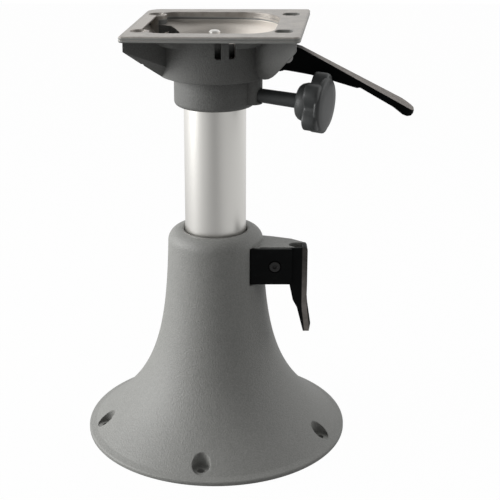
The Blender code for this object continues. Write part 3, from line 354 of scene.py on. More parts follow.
@dataclass(frozen=True)
class MountCoat(PowderCoat):
    """The same coat, over a mount whose dish keeps the warmer, smoother skin of the casting. The skin in the
    bowl is painted brighter as a painted highlight, and the plate's side is painted lighter as painted light
    from above.
    """

    skin: Colour = (0.300, 0.279, 0.254)
    skin_roughness: float = 0.34
    skin_grain: float = 0.016
    bowl_highlight_gain: Point2 = (1.2, 2.8)
    rim_light_gain: float = 2.25
    metal: Point2 = (0.30, 0.45)
    bowl_radius: float = 0.0543
    bowl_floor: float = 0.0490
    shoulder: Point2 = (0.0600, 0.0768)
    edge: float = 0.0013
    plate_edge: float = 0.0806
    sunk_x: Point2 = (-0.0772, 0.0655)
    sunk_y: float = 0.0655
    soft: float = 0.0003

    def bowl(self, bench: Bench) -> Shade:
        """Mask of the bowl, its shoulder, and the pocket of the left wing, where the skin gets its painted
        highlight.

        Args:
            bench: node tree of the material.

        Returns:
            1 on the surfaces that face into the bowl.
        """
        x, y, z = (bench.place().axis(name) for name in "XYZ")
        normal = bench.facing()
        within = (x * x + y * y).under(self.bowl_radius ** 2)
        aside = abs(y)
        pocket = x.between(self.sunk_x[0], -0.0300, self.soft) * (x * -1.38 - aside).ramp(0.0470, 0.0480)
        gate = x.between(-0.0620, -0.0250, self.soft) * aside.under(0.0255)
        above = z.ramp(self.bowl_floor - 0.0005, self.bowl_floor + 0.0005)
        inward = (normal.axis("X") * x + normal.axis("Y") * y).under(0.0)
        shoulder = normal.axis("Z").ramp(0.05, 0.30) * z.between(*self.shoulder, 0.0004)
        hollow = above * within.most(pocket.most(gate)) * self.upward(bench).most(inward)
        return hollow.most(shoulder)

    def upward(self, bench: Bench) -> Shade:
        """Mask of the faces that look up."""
        return bench.facing().axis("Z").ramp(0.35, 0.75)

    def plate(self, bench: Bench) -> Shade:
        """Mask of the plate's top and of the sunk rectangle in it.

        Args:
            bench: node tree of the material.

        Returns:
            1 on those surfaces.
        """
        x, y, z = (bench.place().axis(name) for name in "XYZ")
        sunk = z.ramp(self.plate_edge - 0.0050, self.plate_edge - 0.0045)
        sunk = sunk * x.between(*self.sunk_x, self.soft) * y.between(-self.sunk_y, self.sunk_y, self.soft)
        return sunk.most(self.upward(bench) * z.ramp(self.plate_edge - 0.0060, self.plate_edge - 0.0040))

    def describe(self, bench: Bench, edges: Shade) -> dict[str, "Shade | float"]:
        """Coat outside, with painted light on the plate's side, cast skin inside the opening, and a painted
        highlight in the bowl.

        Args:
            bench: node tree of the material.
            edges: normal that rounds the edges.

        Returns:
            Values and links by input name.
        """
        found = super().describe(bench, edges)
        here = bench.place()
        bowl = self.bowl(bench)
        inside = bowl.most(self.plate(bench))
        side = here.axis("Z").ramp(self.plate_edge - 0.0060, self.plate_edge - 0.0054)
        flow = bench.noise(here, self.skin_grain, 3.0, 0.6)
        skin = bench.mix(flow.ramp(0.35, 0.65), scaled(self.skin, 0.85), scaled(self.skin, 1.15))
        # Painted highlight: the skin in the bowl and the wing's pocket is painted 1.2 times brighter at the
        # left, rising to 2.8 times towards +X, where the bowl's right wall catches the key lamp.
        low, high = (scaled(self.skin, gain) for gain in self.bowl_highlight_gain)
        bowl_highlight = bench.mix(here.axis("X").ramp(-0.01, 0.05), low, high)
        # Painted light: the plate's side, from its underside up, is painted 2.25 times lighter for the light
        # that falls on it from above.
        coat = bench.mix(side, found["Base Color"], scaled(self.colour, self.rim_light_gain))
        rough = self.skin_roughness - 0.05 + flow * 0.14
        found["Base Color"] = bench.mix(inside, coat, bench.mix(bowl, skin, bowl_highlight))
        found["Roughness"] = found["Roughness"] * (1.0 - inside) + rough * inside
        found["Metallic"] = inside * self.metal[0] + bowl * self.metal[1]
        return found


@dataclass(frozen=True)
class AnodisedTube(Finish):
    """Drawn aluminium tube, satin anodised."""

    def describe(self, bench: Bench, edges: Shade) -> dict[str, "Shade | float"]:
        """Fine die lines along the tube, and a light grain across it.

        Args:
            bench: node tree of the material.
            edges: normal that rounds the edges.

        Returns:
            Values and links by input name.
        """
        lines = bench.noise(bench.place((1.0, 1.0, 0.012)), 0.0007, 3.0, 0.6)
        grain = bench.noise(bench.place(), 0.0004, 2.0, 0.5)
        cloud = bench.noise(bench.place((1.0, 1.0, 0.3)), 0.03, 3.0, 0.5)
        return {
            "Base Color": bench.mix(cloud * 0.6 + lines * 0.4, scaled(self.colour, 0.94), self.colour),
            "Roughness": self.roughness - 0.03 + lines * 0.05 + cloud * 0.04,
            "Normal": bench.bump(lines * 0.7 + grain * 0.3, 0.000012, edges),
        }


@dataclass(frozen=True)
class SatinPaint(Finish):
    """Satin paint on bent sheet."""

    def reflection_band(self, bench: Bench) -> Shade | None:
        """Where a paler band of painted reflection shows on the sheet, if it does."""
        return None

    def describe(self, bench: Bench, edges: Shade) -> dict[str, "Shade | float"]:
        """Orange-peel bump and faint smudges.

        Args:
            bench: node tree of the material.
            edges: normal that rounds the edges.

        Returns:
            Values and links by input name.
        """
        here = bench.place()
        peel = bench.noise(here, 0.0010, 2.0, 0.5)
        smudge = bench.noise(here, 0.014, 4.0, 0.6)
        base = bench.mix(smudge.ramp(0.4, 0.7), self.colour, scaled(self.colour, 1.5))
        found = {
            "Base Color": base,
            "Roughness": self.roughness - 0.05 + smudge * 0.1,
            "Normal": bench.bump(peel, 0.00005, edges),
        }
        # Painted reflection: a paler band where the black paint catches light at a grazing angle.
        band = self.reflection_band(bench)
        if band is not None:
            streak = bench.noise(here, 0.006, 4.0, 0.65)
            reflection_colour = bench.mix(streak.ramp(0.3, 0.7), scaled(REFLECTED_TINT, 0.82), scaled(REFLECTED_TINT, 1.15))
            found["Base Color"] = bench.mix(band, base, reflection_colour)
        return found


@dataclass(frozen=True)
class HandlePaint(SatinPaint):
    """Paint of the lock lever, with a painted reflection as a paler band along the front edge of its web."""

    inner: float = 0.0
    outer: float = 0.0

    def reflection_band(self, bench: Bench) -> Shade:
        """Painted reflection on the front-facing edge of the web and of the handle, weaker towards its top.

        Args:
            bench: node tree of the material.

        Returns:
            Strength of the band.
        """
        here = bench.place()
        x, z = here.axis("X"), here.axis("Z")
        shift = z.ramp(LEVER_Z - 0.0740, LEVER_Z - 0.0400, 0.0030, 0.0)
        front = (-bench.facing().axis("Y")).ramp(0.45, 0.75)
        fade = (-z).ramp(-LEVER_Z - 0.0150, 0.0500 - LEVER_Z, 0.25, 1.0)
        return front * (x - shift).between(self.inner, self.outer, 0.0005) * fade


@dataclass(frozen=True)
class StripPaint(SatinPaint):
    """Paint of the release lever, with a painted reflection as a paler strip along its top."""

    start: float = 0.0

    def reflection_band(self, bench: Bench) -> Shade:
        """Painted reflection on the upper faces past the pivot."""
        up = bench.facing().axis("Z").ramp(0.40, 0.60)
        return up * bench.place().axis("X").ramp(self.start, self.start + 0.03) ** 0.6


@dataclass(frozen=True)
class MouldedPlastic(Finish):
    """Moulded plastic with a spark-eroded grain."""

    def describe(self, bench: Bench, edges: Shade) -> dict[str, "Shade | float"]:
        """Fine grain, and a sheen that changes slowly.

        Args:
            bench: node tree of the material.
            edges: normal that rounds the edges.

        Returns:
            Values and links by input name.
        """
        here = bench.place()
        grain = bench.noise(here, 0.0006, 3.0, 0.6)
        flow = bench.noise(here, 0.02, 2.0, 0.5)
        return {
            "Base Color": bench.mix(flow.ramp(0.35, 0.7), self.colour, scaled(self.colour, 1.25)),
            "Roughness": self.roughness - 0.04 + flow * 0.1,
            "Normal": bench.bump(grain, 0.00004, edges),
        }


@dataclass(frozen=True)
class TurnedSteel(Finish):
    """Turned and drawn steel."""

    def describe(self, bench: Bench, edges: Shade) -> dict[str, "Shade | float"]:
        """Fine tool marks.

        Args:
            bench: node tree of the material.
            edges: normal that rounds the edges.

        Returns:
            Values and links by input name.
        """
        marks = bench.noise(bench.place((1.0, 1.0, 12.0)), 0.002, 3.0, 0.6)
        haze = bench.noise(bench.place(), 0.004, 3.0, 0.5)
        return {
            "Base Color": bench.mix(haze, scaled(self.colour, 0.8), self.colour),
            "Roughness": self.roughness + marks * 0.12,
            "Normal": bench.bump(marks, 0.00002, edges),
        }


COAT = PowderCoat("textured_coat_grey", (0.185, 0.186, 0.176), 0.55, edge=0.0016)
# Painted shade: the mount wears the bell's coat, given about half its colour for the shade it stands in under
# the plate.
MOUNT = MountCoat("textured_coat_mount", (0.098, 0.099, 0.094), 0.60)
TUBE = AnodisedTube("satin_tube", (0.70, 0.688, 0.658), 0.32, 1.0, edge=0.0004)
PAINT = SatinPaint("satin_black_paint", (0.0026, 0.0030, 0.0030), 0.50, edge=0.0009, specular=0.07)
KNOB = MouldedPlastic("moulded_black", (0.024, 0.026, 0.026), 0.50, edge=0.0010)
STEEL = TurnedSteel("turned_steel", (0.46, 0.45, 0.44), 0.28, 1.0, edge=0.0004)
DARK = TurnedSteel("blackened_steel", (0.020, 0.0195, 0.019), 0.42, 0.3, edge=0.0004)
NYLON = MouldedPlastic("natural_nylon", (0.62, 0.60, 0.54), 0.45, edge=0.0004)


def dress(names: Iterable[str], finish: Finish) -> None:
    """Gives CAD nodes a finish.

    Args:
        names: the nodes.
        finish: what they get.
    """
    for name in names:
        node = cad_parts[name]
        node.data.materials.clear()
        node.data.materials.append(finish.make())
        log.info("dressed %s as %s", name, finish.name)


# Shapes


def arc(centre: Point2, radius: float, start: float, end: float, steps: int) -> Outline:
    """Points of an arc.

    Args:
        centre: middle of the arc.
        radius: its radius.
        start: first angle in degrees.
        end: last angle in degrees.
        steps: number of chords.

    Returns:
        One point more than there are chords.
    """
    points = []
    for step in range(steps + 1):
        angle = math.radians(start + (end - start) * step / steps)
        points.append((centre[0] + radius * math.cos(angle), centre[1] + radius * math.sin(angle)))
    return points


def cornered_box(x0: float, x1: float, y0: float, y1: float, radii: Sequence[float], steps: int) -> Outline:
    """Outline of a rectangle with its own radius at each corner.

    Args:
        x0: left side.
        x1: right side.
        y0: front side.
        y1: rear side.
        radii: radius of each corner, from the rear right one round by the left.
        steps: steps of each corner's arc.

    Returns:
        The outline.
    """
    outline = []
    corners = ((x1, y1, 1.0, 1.0), (x0, y1, -1.0, 1.0), (x0, y0, -1.0, -1.0), (x1, y0, 1.0, -1.0))
    for quarter, ((x, y, right, rear), radius) in enumerate(zip(corners, radii)):
        start = 90.0 * quarter
        outline += arc((x - right * radius, y - rear * radius), radius, start, start + 90.0, steps)
    return outline


def polar(radius: float, angle: float, height: float) -> Point3:
    """Place at a radius and an angle about Z."""
    return (radius * math.cos(angle), radius * math.sin(angle), height)


class Solid:
    """Closed mesh that is shaped by Booleans and then handed to the frame."""

    def __init__(self, name: str, bm: bmesh.types.BMesh, smooth: float = 38.0) -> None:
        """Turns a bmesh into an object, with its faces pointing out."""
        bmesh.ops.recalc_face_normals(bm, faces=bm.faces)
        mesh = bpy.data.meshes.new(name)
        bm.to_mesh(mesh)
        bm.free()
        self.smooth = smooth
        self.obj = bpy.data.objects.new(name, mesh)
        bpy.context.scene.collection.objects.link(self.obj)

    @classmethod
    def revolved(cls, name: str, profile: Outline, segments: int = 144) -> "Solid":
        """Turns a closed (radius, height) outline about Z.

        Args:
            name: name of the object.
            profile: the outline.
            segments: steps of a full turn.

        Returns:
            The solid.
        """
        bm = bmesh.new()
        rings = []
        for radius, height in profile:
            count = 1 if radius < 1e-7 else segments
            angles = [2.0 * math.pi * step / segments for step in range(count)]
            rings.append([bm.verts.new(polar(radius, angle, height)) for angle in angles])
        for low, high in zip(rings, rings[1:] + rings[:1]):
            if len(low) == 1 and len(high) == 1:
                continue
            for step in range(segments):
                after = (step + 1) % segments
                corners = [low[step % len(low)], low[after % len(low)],
                           high[after % len(high)], high[step % len(high)]]
                bm.faces.new(list(dict.fromkeys(corners)))
        return cls(name, bm)

    @classmethod
    def lofted(cls, name: str, rings: Sequence[tuple[Outline, float]], along: Along = Along.Z) -> "Solid":
        """Skins outlines of equal length at rising heights, and caps both ends.

        Args:
            name: name of the object.
            rings: each outline with its height.
            along: axis of the heights.

        Returns:
            The solid.
        """
        bm = bmesh.new()
        made = [[bm.verts.new(along.put(u, v, height)) for u, v in outline] for outline, height in rings]
        for low, high in zip(made, made[1:]):
            for here in range(len(low)):
                there = (here + 1) % len(low)
                bm.faces.new((low[here], low[there], high[there], high[here]))
        bm.faces.new(made[0])
        bm.faces.new(made[-1])
        return cls(name, bm)

    @classmethod
    def prism(cls, name: str, outline: Outline, low: float, high: float, along: Along = Along.Z) -> "Solid":
        """Draws an outline out between two heights."""
        return cls.lofted(name, [(outline, low), (outline, high)], along)

    @classmethod
    def hull(cls, name: str, points: Iterable[Point3]) -> "Solid":
        """Convex hull of a few points.

        Args:
            name: name of the object.
            points: the points.

        Returns:
            The solid.
        """
        bm = bmesh.new()
        found = bmesh.ops.convex_hull(bm, input=[bm.verts.new(point) for point in points])
        loose = [item for item in found["geom_interior"] if isinstance(item, bmesh.types.BMVert)]
        bmesh.ops.delete(bm, geom=loose, context="VERTS")
        bmesh.ops.dissolve_limit(bm, angle_limit=math.radians(0.5), verts=bm.verts, edges=bm.edges)
        return cls(name, bm)

    @classmethod
    def rod(cls, name: str, start: Point3, end: Point3, radius: float, segments: int = 48) -> "Solid":
        """Round bar between two points.

        Args:
            name: name of the object.
            start: middle of one end.
            end: middle of the other end.
            radius: its radius.
            segments: flats round it.

        Returns:
            The solid.
        """
        first, last = Vector(start), Vector(end)
        run = last - first
        turn = run.to_track_quat("Z", "Y").to_matrix().to_4x4()
        bm = bmesh.new()
        bmesh.ops.create_cone(bm, cap_ends=True, segments=segments, radius1=radius, radius2=radius,
                              depth=run.length, matrix=Matrix.Translation((first + last) / 2.0) @ turn)
        return cls(name, bm)

    def combine(self, how: Join, tools: Sequence["Solid"]) -> "Solid":
        """Applies Booleans, and deletes the tools.

        Args:
            how: the operation.
            tools: solids that are used up.

        Returns:
            This solid.
        """
        for tool in tools:
            step = self.obj.modifiers.new("boolean", "BOOLEAN")
            step.operation = how.value
            step.solver = "EXACT"
            step.object = tool.obj
        self.apply()
        for tool in tools:
            bpy.data.objects.remove(tool.obj)
        return self

    def apply(self) -> "Solid":
        """Applies the modifiers and welds what they leave.

        Returns:
            This solid.
        """
        bpy.context.view_layer.update()
        evaluated = self.obj.evaluated_get(bpy.context.evaluated_depsgraph_get())
        mesh = bpy.data.meshes.new_from_object(evaluated)
        self.obj.modifiers.clear()
        old, self.obj.data = self.obj.data, mesh
        bpy.data.meshes.remove(old)
        bm = bmesh.new()
        bm.from_mesh(mesh)
        bmesh.ops.remove_doubles(bm, verts=bm.verts, dist=WELD)
        bmesh.ops.dissolve_degenerate(bm, edges=bm.edges, dist=WELD)
        bm.to_mesh(mesh)
        bm.free()
        return self

    def cut(self, *tools: "Solid") -> "Solid":
        """Takes other solids away."""
        return self.combine(Join.CUT, tools)

    def add(self, *tools: "Solid") -> "Solid":
        """Adds other solids."""
        return self.combine(Join.ADD, tools)

    def meet(self, tool: "Solid") -> "Solid":
        """Keeps what lies inside another solid too."""
        return self.combine(Join.MEET, [tool])

    def soften(self, width: float, segments: int = 3, angle: float = 40.0) -> "Solid":
        """Rounds the sharp edges.

        Args:
            width: width of the rounding.
            segments: its steps.
            angle: the least angle that counts as sharp, in degrees.

        Returns:
            This solid.
        """
        step = self.obj.modifiers.new("round", "BEVEL")
        step.width = width
        step.segments = segments
        step.limit_method = "ANGLE"
        step.angle_limit = math.radians(angle)
        return self.apply()

    def turned(self, matrix: Matrix) -> "Solid":
        """Moves the mesh itself."""
        self.obj.data.transform(matrix)
        return self

    def give(self, body: str, node: str, slot: str, finish: Finish, place: Matrix | None = None) -> None:
        """Dresses the piece and hands it to the frame.

        Args:
            body: body that it rides on.
            node: CAD node that it stands for.
            slot: material slot of the record; not used.
            finish: finish of the whole piece.
            place: frame that its mesh is drawn in.
        """
        mesh = self.obj.data
        mesh.materials.clear()
        mesh.materials.append(finish.make())
        for face in mesh.polygons:
            face.material_index = 0
        mesh.shade_smooth()
        mesh.set_sharp_from_angle(angle=math.radians(self.smooth))
        if place is not None:
            self.obj.matrix_world = place
        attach(self.obj, body)
        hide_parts(node)
        log.info("built %s: %d faces", self.obj.name, len(mesh.polygons))


# Sub-assemblies


@dataclass(frozen=True)
class Bell:
    """Bell base: a flared casting with a lug for the lock lever."""

    radius: float = 0.1391
    height: float = 0.2250
    wall: float = 0.0050
    neck: float = 0.0483
    flare_width: float = 0.0909
    flare_height: float = 0.0571
    flare_power: float = 1.081
    shoulder: float = 0.0130
    rim: float = 0.0035
    bore: float = 0.03695
    barrel: float = 0.04145
    barrel_bottom: float = 0.1180
    cavity_top: float = 0.1620
    bolts: int = 5
    bolt_circle: float = 0.1210
    bolt_azimuth: float = math.radians(-24.6)
    bolt_hole: float = 0.0041
    bolt_pocket: float = 0.00925
    bolt_floor: float = 0.0065
    bolt_boss: float = 0.0135
    reach: float = 0.0330
    plate_left: float = 0.0255

    def flare(self, height: float) -> float:
        """Outer radius at a height."""
        return self.neck + self.flare_width * math.exp(-((height / self.flare_height) ** self.flare_power))

    def outside(self) -> Outline:
        """Outline of the outside, from the rim to the mouth.

        Returns:
            The outline.
        """
        points = [(self.radius, 0.0)]
        points += arc((self.radius - self.rim * 0.7, self.rim * 0.6), self.rim * 0.7, 0.0, 60.0, 6)
        first, last, steps = self.rim * 1.6, self.height - self.shoulder, 56
        for step in range(steps + 1):
            height = first + (last - first) * (step / steps) ** 1.35
            points.append((self.flare(height), height))
        centre = (self.flare(last) - self.shoulder, last)
        return points + arc(centre, self.shoulder, 3.0, 90.0, 14)

    def bolt(self, step: float) -> float:
        """Azimuth of a deck bolt, or of a rib half a step on."""
        return self.bolt_azimuth + 2.0 * math.pi * step / self.bolts

    def cavity(self) -> Solid:
        """Hollow under the bell, less its bosses, ribs and barrel.

        Returns:
            The tool that cuts it.
        """
        inside = [(0.0, -OVER)]
        steps = 26
        for step in range(steps + 1):
            height = -OVER + (self.cavity_top + OVER) * step / steps
            radius = self.flare(max(height, 0.0) + self.wall * 0.4) - self.wall
            inside.append((max(radius, self.barrel + 0.0015), height))
        inside += [(self.barrel, self.cavity_top), (self.barrel, self.barrel_bottom),
                   (0.0, self.barrel_bottom)]
        kept = []
        for step in range(self.bolts):
            kept.append(Solid.rod("boss", polar(self.bolt_circle, self.bolt(step), -2.0 * OVER),
                                  polar(self.bolt_circle, self.bolt(step), 0.06), self.bolt_boss))
            angle = self.bolt(step + 0.5)
            side = Vector((-math.sin(angle), math.cos(angle), 0.0)) * 0.0020
            near = Vector(polar(self.barrel - 0.0005, angle, 0.0))
            wide = Vector(polar(self.radius, angle, 0.0))
            corners = [near - side, wide - side, wide + side, near + side]
            kept.append(Solid.prism("rib", [(c.x, c.y) for c in corners], 0.0400, self.cavity_top + OVER))
        core = Solid.rod("core", (0, 0, -2.0 * OVER), (0, 0, self.barrel_bottom + OVER), self.bore, 144)
        return Solid.revolved("cavity", inside).cut(*kept).add(core)

    def lug(self) -> list[Solid]:
        """Round-ended lug, its web on the right and the pad behind the lock plate.

        Returns:
            The solids to add.
        """
        inner = self.bore + 0.0035
        low = math.degrees(math.asin((LEVER_Z - LUG_BOTTOM) / LUG_END))
        high = math.degrees(math.asin((LUG_TOP - LEVER_Z) / LUG_END))
        end = arc((LEVER_X, LEVER_Z), LUG_END, -low, high, 36)
        head = Solid.prism("lug", [(inner, LUG_BOTTOM)] + end + [(inner, LUG_TOP)],
                           LUG_FRONT, LUG_STEP + 0.0002, Along.Y)
        tail = [(inner, LUG_STEP), (LEVER_X + self.reach, LUG_STEP),
                (LEVER_X + 0.55 * self.reach, LUG_REAR - 0.0115), (LEVER_X, LUG_REAR - 0.0045),
                (self.neck - 0.002, LUG_REAR), (inner, LUG_REAR)]
        rear = Solid.prism("lug_rear", tail, LUG_BOTTOM, LUG_TOP)
        seat = LUG_FRONT - CHEEK - 2.0 * GAP
        edge = LEVER_X - 0.0155
        behind = LUG_FRONT + 0.002
        pad = Solid.prism("lug_pad", [(inner, behind), (inner, seat), (edge, seat), (edge, behind)],
                          LUG_BOTTOM, LUG_TOP)
        return [head, rear, pad]

    def build(self) -> None:
        """Builds the casting and stands it for the CAD node."""
        bell = Solid.revolved("bell_casting", [(0.0, 0.0)] + self.outside() + [(0.0, self.height)], 176)
        bell.add(*self.lug())
        seat = LUG_FRONT - CHEEK - 2.0 * GAP
        left = LEVER_X - self.plate_left - 2.0 * GAP
        right, front = left + 0.08, seat - 0.03
        flat = Solid.prism("flat", [(left, seat), (right, seat), (right, front), (left, front)],
                           LUG_BOTTOM - 2.0 * GAP, LUG_TOP + 2.0 * GAP)
        lip, top = TUBE_RADIUS + 0.0012, self.height
        bore = Solid.rod("bore", (0, 0, self.barrel_bottom - OVER), (0, 0, top - 0.006), self.bore, 144)
        mouth = Solid.revolved("mouth", [
            (0.0, top - 0.008), (lip, top - 0.008), (lip, top - 0.0025), (lip + 0.0003, top - 0.0014),
            (lip + 0.0011, top - 0.0004), (lip + 0.0025, top), (lip + 0.0025, top + OVER), (0.0, top + OVER)])
        bell.cut(flat, self.cavity(), bore, mouth)
        spots = [self.bolt(step) for step in range(self.bolts)]
        bell.cut(*[Solid.rod("pocket", polar(self.bolt_circle, angle, self.bolt_floor),
                             polar(self.bolt_circle, angle, 0.06), self.bolt_pocket, 56) for angle in spots])
        bell.cut(*[Solid.rod("hole", polar(self.bolt_circle, angle, -OVER),
                             polar(self.bolt_circle, angle, self.bolt_floor + OVER), self.bolt_hole, 32)
                   for angle in spots])
        self.open_lug(bell)
        bell.give("base", "bell_base", "textured_coat", COAT)

    def open_lug(self, bell: Solid) -> None:
        """Cuts the cam's well, the shaft's hole, the plunger's guide and the slot in the lug.

        Args:
            bell: the casting.
        """
        half, space, cam_y = 0.0041, 0.0135, -0.0065
        under = [(LEVER_X - space, LUG_BOTTOM - OVER), (LEVER_X + space, LUG_BOTTOM - OVER)]
        well = Solid.prism("well", arc((LEVER_X, LEVER_Z), space, 0.0, 180.0, 24) + under,
                           cam_y - half, cam_y + half, Along.Y)
        shaft = Solid.rod("shaft", (LEVER_X, LUG_FRONT - OVER, LEVER_Z), (LEVER_X, 0.05, LEVER_Z), SHAFT_HOLE)
        spot = Solid.rod("spot", (LEVER_X, LUG_REAR - 0.0062, LEVER_Z), (LEVER_X, 0.05, LEVER_Z), 0.0085)
        guide = Solid.rod("guide", (0.030, cam_y, LEVER_Z), (LEVER_X - 0.008, cam_y, LEVER_Z), 0.0063)
        x, y = LEVER_X + 0.0207, LUG_STEP - 0.0066
        outline = arc((x, y), 0.0062, 90.0, 270.0, 20) + [(x + 0.03, y - 0.0062), (x + 0.03, y + 0.0062)]
        slot = Solid.prism("slot", outline, LUG_TOP - 0.0110, LUG_TOP + OVER)
        bell.cut(well, spot, shaft, guide, slot)


@dataclass(frozen=True)
class Column:
    """Drawn tube with a small chamfer at its ends."""

    below: float = 0.2995
    above: float = 0.0265
    wall: float = 0.0030
    chamfer: float = 0.0006

    def build(self) -> None:
        """Builds the tube."""
        low, high = COLLAR_Z - self.below, COLLAR_Z + self.above
        inside, edge = TUBE_RADIUS - self.wall, self.chamfer
        tube = Solid.revolved("drawn_tube", [
            (inside, low + edge), (inside + edge, low), (TUBE_RADIUS - edge, low), (TUBE_RADIUS, low + edge),
            (TUBE_RADIUS, high - edge), (TUBE_RADIUS - edge, high), (inside + edge, high),
            (inside, high - edge)], 160)
        tube.give("column", "column_tube", "satin_aluminium", TUBE)


@dataclass(frozen=True)
class SeatMount:
    """Cast seat mount: collar, drum, dished plate and two hollow wings."""

    collar: float = 0.0414
    collar_edge: float = 0.0045
    collar_height: float = 0.0295
    skirt: float = 0.0020
    drum: float = 0.0560
    drum_wall: float = 0.0045
    bottom: float = 0.0752
    top: float = 0.0811
    length: float = 0.1718
    width: float = 0.1682
    corners: tuple[float, ...] = (0.0050, 0.0150, 0.0045, 0.0060)
    centre: float = 0.0047
    step: float = 0.0040
    sunk: tuple[float, ...] = (-0.0660, 0.0640, -0.0640, 0.0640)
    sunk_corners: tuple[float, ...] = (0.0460, 0.0200, 0.0260, 0.0260)
    dish: float = 0.0505
    dish_floor: float = 0.0505
    dish_front: float = 0.0485
    wing_root: float = math.radians(62.0)
    wing_inset: Point2 = (0.0035, 0.0065)
    wing_tip: float = 0.0655
    wing_wall: float = 0.0045
    wing_sag: tuple[Point2, ...] = (
        (0.10, 0.0030), (0.22, 0.0054), (0.34, 0.0064), (0.46, 0.0060), (0.60, 0.0040))
    pocket: float = 0.0040
    gate: float = math.radians(36.0)
    sill: float = 0.0640
    bolt_pitch: Point2 = (0.0700, 0.0505)
    bolt_shift: float = 0.0030
    bolt_hole: float = 0.0043
    post: float = 0.0104
    recess: float = 0.0088
    recess_depth: float = 0.0035
    boss: float = 0.0105
    boss_distance: float = 0.0405
    window_floor: float = 0.0541
    window_azimuth: float = math.radians(-72.2)
    rake: float = 0.0168

    def plate(self) -> Solid:
        """Plate with a chamfered top edge and a fine groove round its side.

        Returns:
            The plate.
        """
        x0, x1 = self.centre - self.length / 2.0, self.centre + self.length / 2.0
        half = self.width / 2.0
        rings = []
        for inset, height in ((0.0008, self.bottom), (0.0, self.bottom + 0.0008), (0.0, self.bottom + 0.0023),
                              (0.00045, self.bottom + 0.0026), (0.00045, self.bottom + 0.0029),
                              (0.0, self.bottom + 0.0032), (0.0, self.top - 0.0011), (0.0011, self.top)):
            radii = [radius - inset for radius in self.corners]
            side = half - inset
            rings.append((cornered_box(x0 + inset, x1 - inset, -side, side, radii, 12), height))
        return Solid.lofted("seat_casting", rings)

    def root(self) -> Point2:
        """Where the wing's wall leaves the drum."""
        return self.drum * math.sin(self.wing_root), self.drum * math.cos(self.wing_root)

    def wing(self, side: float, grow: float) -> list[Point3]:
        """Corners of the wing under one side.

        Args:
            side: -1 for the left wing, 1 for the right one, which sags below a straight line.
            grow: how far its walls move out, negative for the pocket inside it.

        Returns:
            The points whose hull is the wing.
        """
        root_x, root_y = self.root()
        root_y += 1.3 * grow
        tip_x = side * self.centre + self.length / 2.0 - (0.0043 if side > 0.0 else 0.0035) + grow
        tip_y = self.width / 2.0 - self.wing_inset[1] + 2.4 * grow
        foot, tip, roof = self.collar_height + 0.0008, self.wing_tip, self.bottom + OVER
        run_x, run_y, rise = tip_x - root_x, tip_y - root_y, tip - foot
        points = []
        for sign in (-1.0, 1.0):
            for x, y, low in ((root_x, root_y, foot), (tip_x, tip_y, tip),
                              (root_x * 0.5, root_y * 0.5, foot)):
                points += [(side * x, sign * y, low - 1.6 * grow), (side * x, sign * y, roof)]
            if side > 0.0:
                for share, sag in self.wing_sag:
                    points.append((root_x + run_x * share, sign * (root_y + run_y * share),
                                   foot + rise * share - sag))
        return points

    def holes(self) -> list[Point2]:
        """Places of the seat bolts."""
        pitch_x, pitch_y = self.bolt_pitch
        return [(self.bolt_shift + sx * pitch_x, sy * pitch_y) for sx in (-1.0, 1.0) for sy in (-1.0, 1.0)]

    def opening(self) -> Solid:
        """Room in the plate: the sunk rectangle, the dish and the pocket of the left wing.

        Returns:
            The tool that cuts it, with the posts of the left bolts left standing.
        """
        floor, top = self.top - self.step, self.top + OVER
        room = Solid.prism("opening", cornered_box(*self.sunk, self.sunk_corners, 24), floor, top)
        pocket = Solid.hull("pocket", [(x, y, z + (OVER if z > self.bottom else 0.0))
                                       for x, y, z in self.wing(-1.0, -self.pocket)])
        pocket.cut(Solid.rod("wall", (0, 0, 0), (0, 0, top + OVER), self.dish + 0.0035, 144))
        gate = self.gateway(floor + OVER)
        for sign in (-1.0, 1.0):
            block = [(-0.0675, 0.0402), (-0.0500, 0.0415), (-0.0360, 0.0225), (-0.0200, 0.0300),
                     (-0.0300, 0.0900), (-0.0900, 0.0900), (-0.0900, 0.0520), (-0.0750, 0.0520)]
            for hollow in (pocket, gate):
                hollow.cut(Solid.prism("block", [(x, sign * y) for x, y in block], 0.0, floor + 0.0002))
        room.add(self.bowl(), pocket, gate)
        return room.cut(*[Solid.rod("post", (x, y, 0.0), (x, y, self.top - 0.0006), self.post, 64)
                          for x, y in self.holes()[:2]])

    def gateway(self, top: float) -> Solid:
        """Way from the dish into the left wing.

        Args:
            top: height that it is cut up to.

        Returns:
            The tool that cuts it.
        """
        near, far = 0.5 * self.dish, 1.12 * self.dish
        turns = (-self.gate, self.gate, self.gate, 0.0, -self.gate)
        spread = [(-math.cos(turn), math.sin(turn)) for turn in turns]
        outline = [(near * x, near * y) for x, y in spread[:2]] + [(far * x, far * y) for x, y in spread[2:]]
        return Solid.prism("gate", outline, self.sill, top)

    def bowl(self) -> Solid:
        """Room of the bowl and of the shoulder round it.

        Returns:
            The tool that cuts it.
        """
        levels = ((0.0640, 0.0800), (0.0640, 0.0735), (0.0628, 0.0722), (0.0590, 0.0710), (0.0555, 0.0700),
                  (0.0525, 0.0686), (0.0495, 0.0664), (0.0464, 0.0636), (0.0430, 0.0608), (0.0390, 0.0582),
                  (0.0340, 0.0556), (0.0280, 0.0532), (0.0200, 0.0512), (0.0120, self.dish_floor))
        return Solid.lofted("dish", [(self.bowl_ring(half), height) for half, height in levels])

    def bowl_ring(self, half: float) -> Outline:
        """Outline of the bowl at one depth: a rounded rectangle at the top that turns into a circle.

        Args:
            half: half of its width.

        Returns:
            The outline.
        """
        share = min(1.0, max(0.0, (0.0640 - half) / 0.0140))
        most = min(0.97 * half, 0.0480)
        front = min(0.0260 + (0.97 * min(half, 0.0480) - 0.0260) * share, most)
        radii = (most, min(0.0200 + 0.0280 * share, most), front, front)
        left = -half - 0.0020 * (1.0 - share)
        return cornered_box(left, half, -min(half, self.dish_front), half, radii, 18)

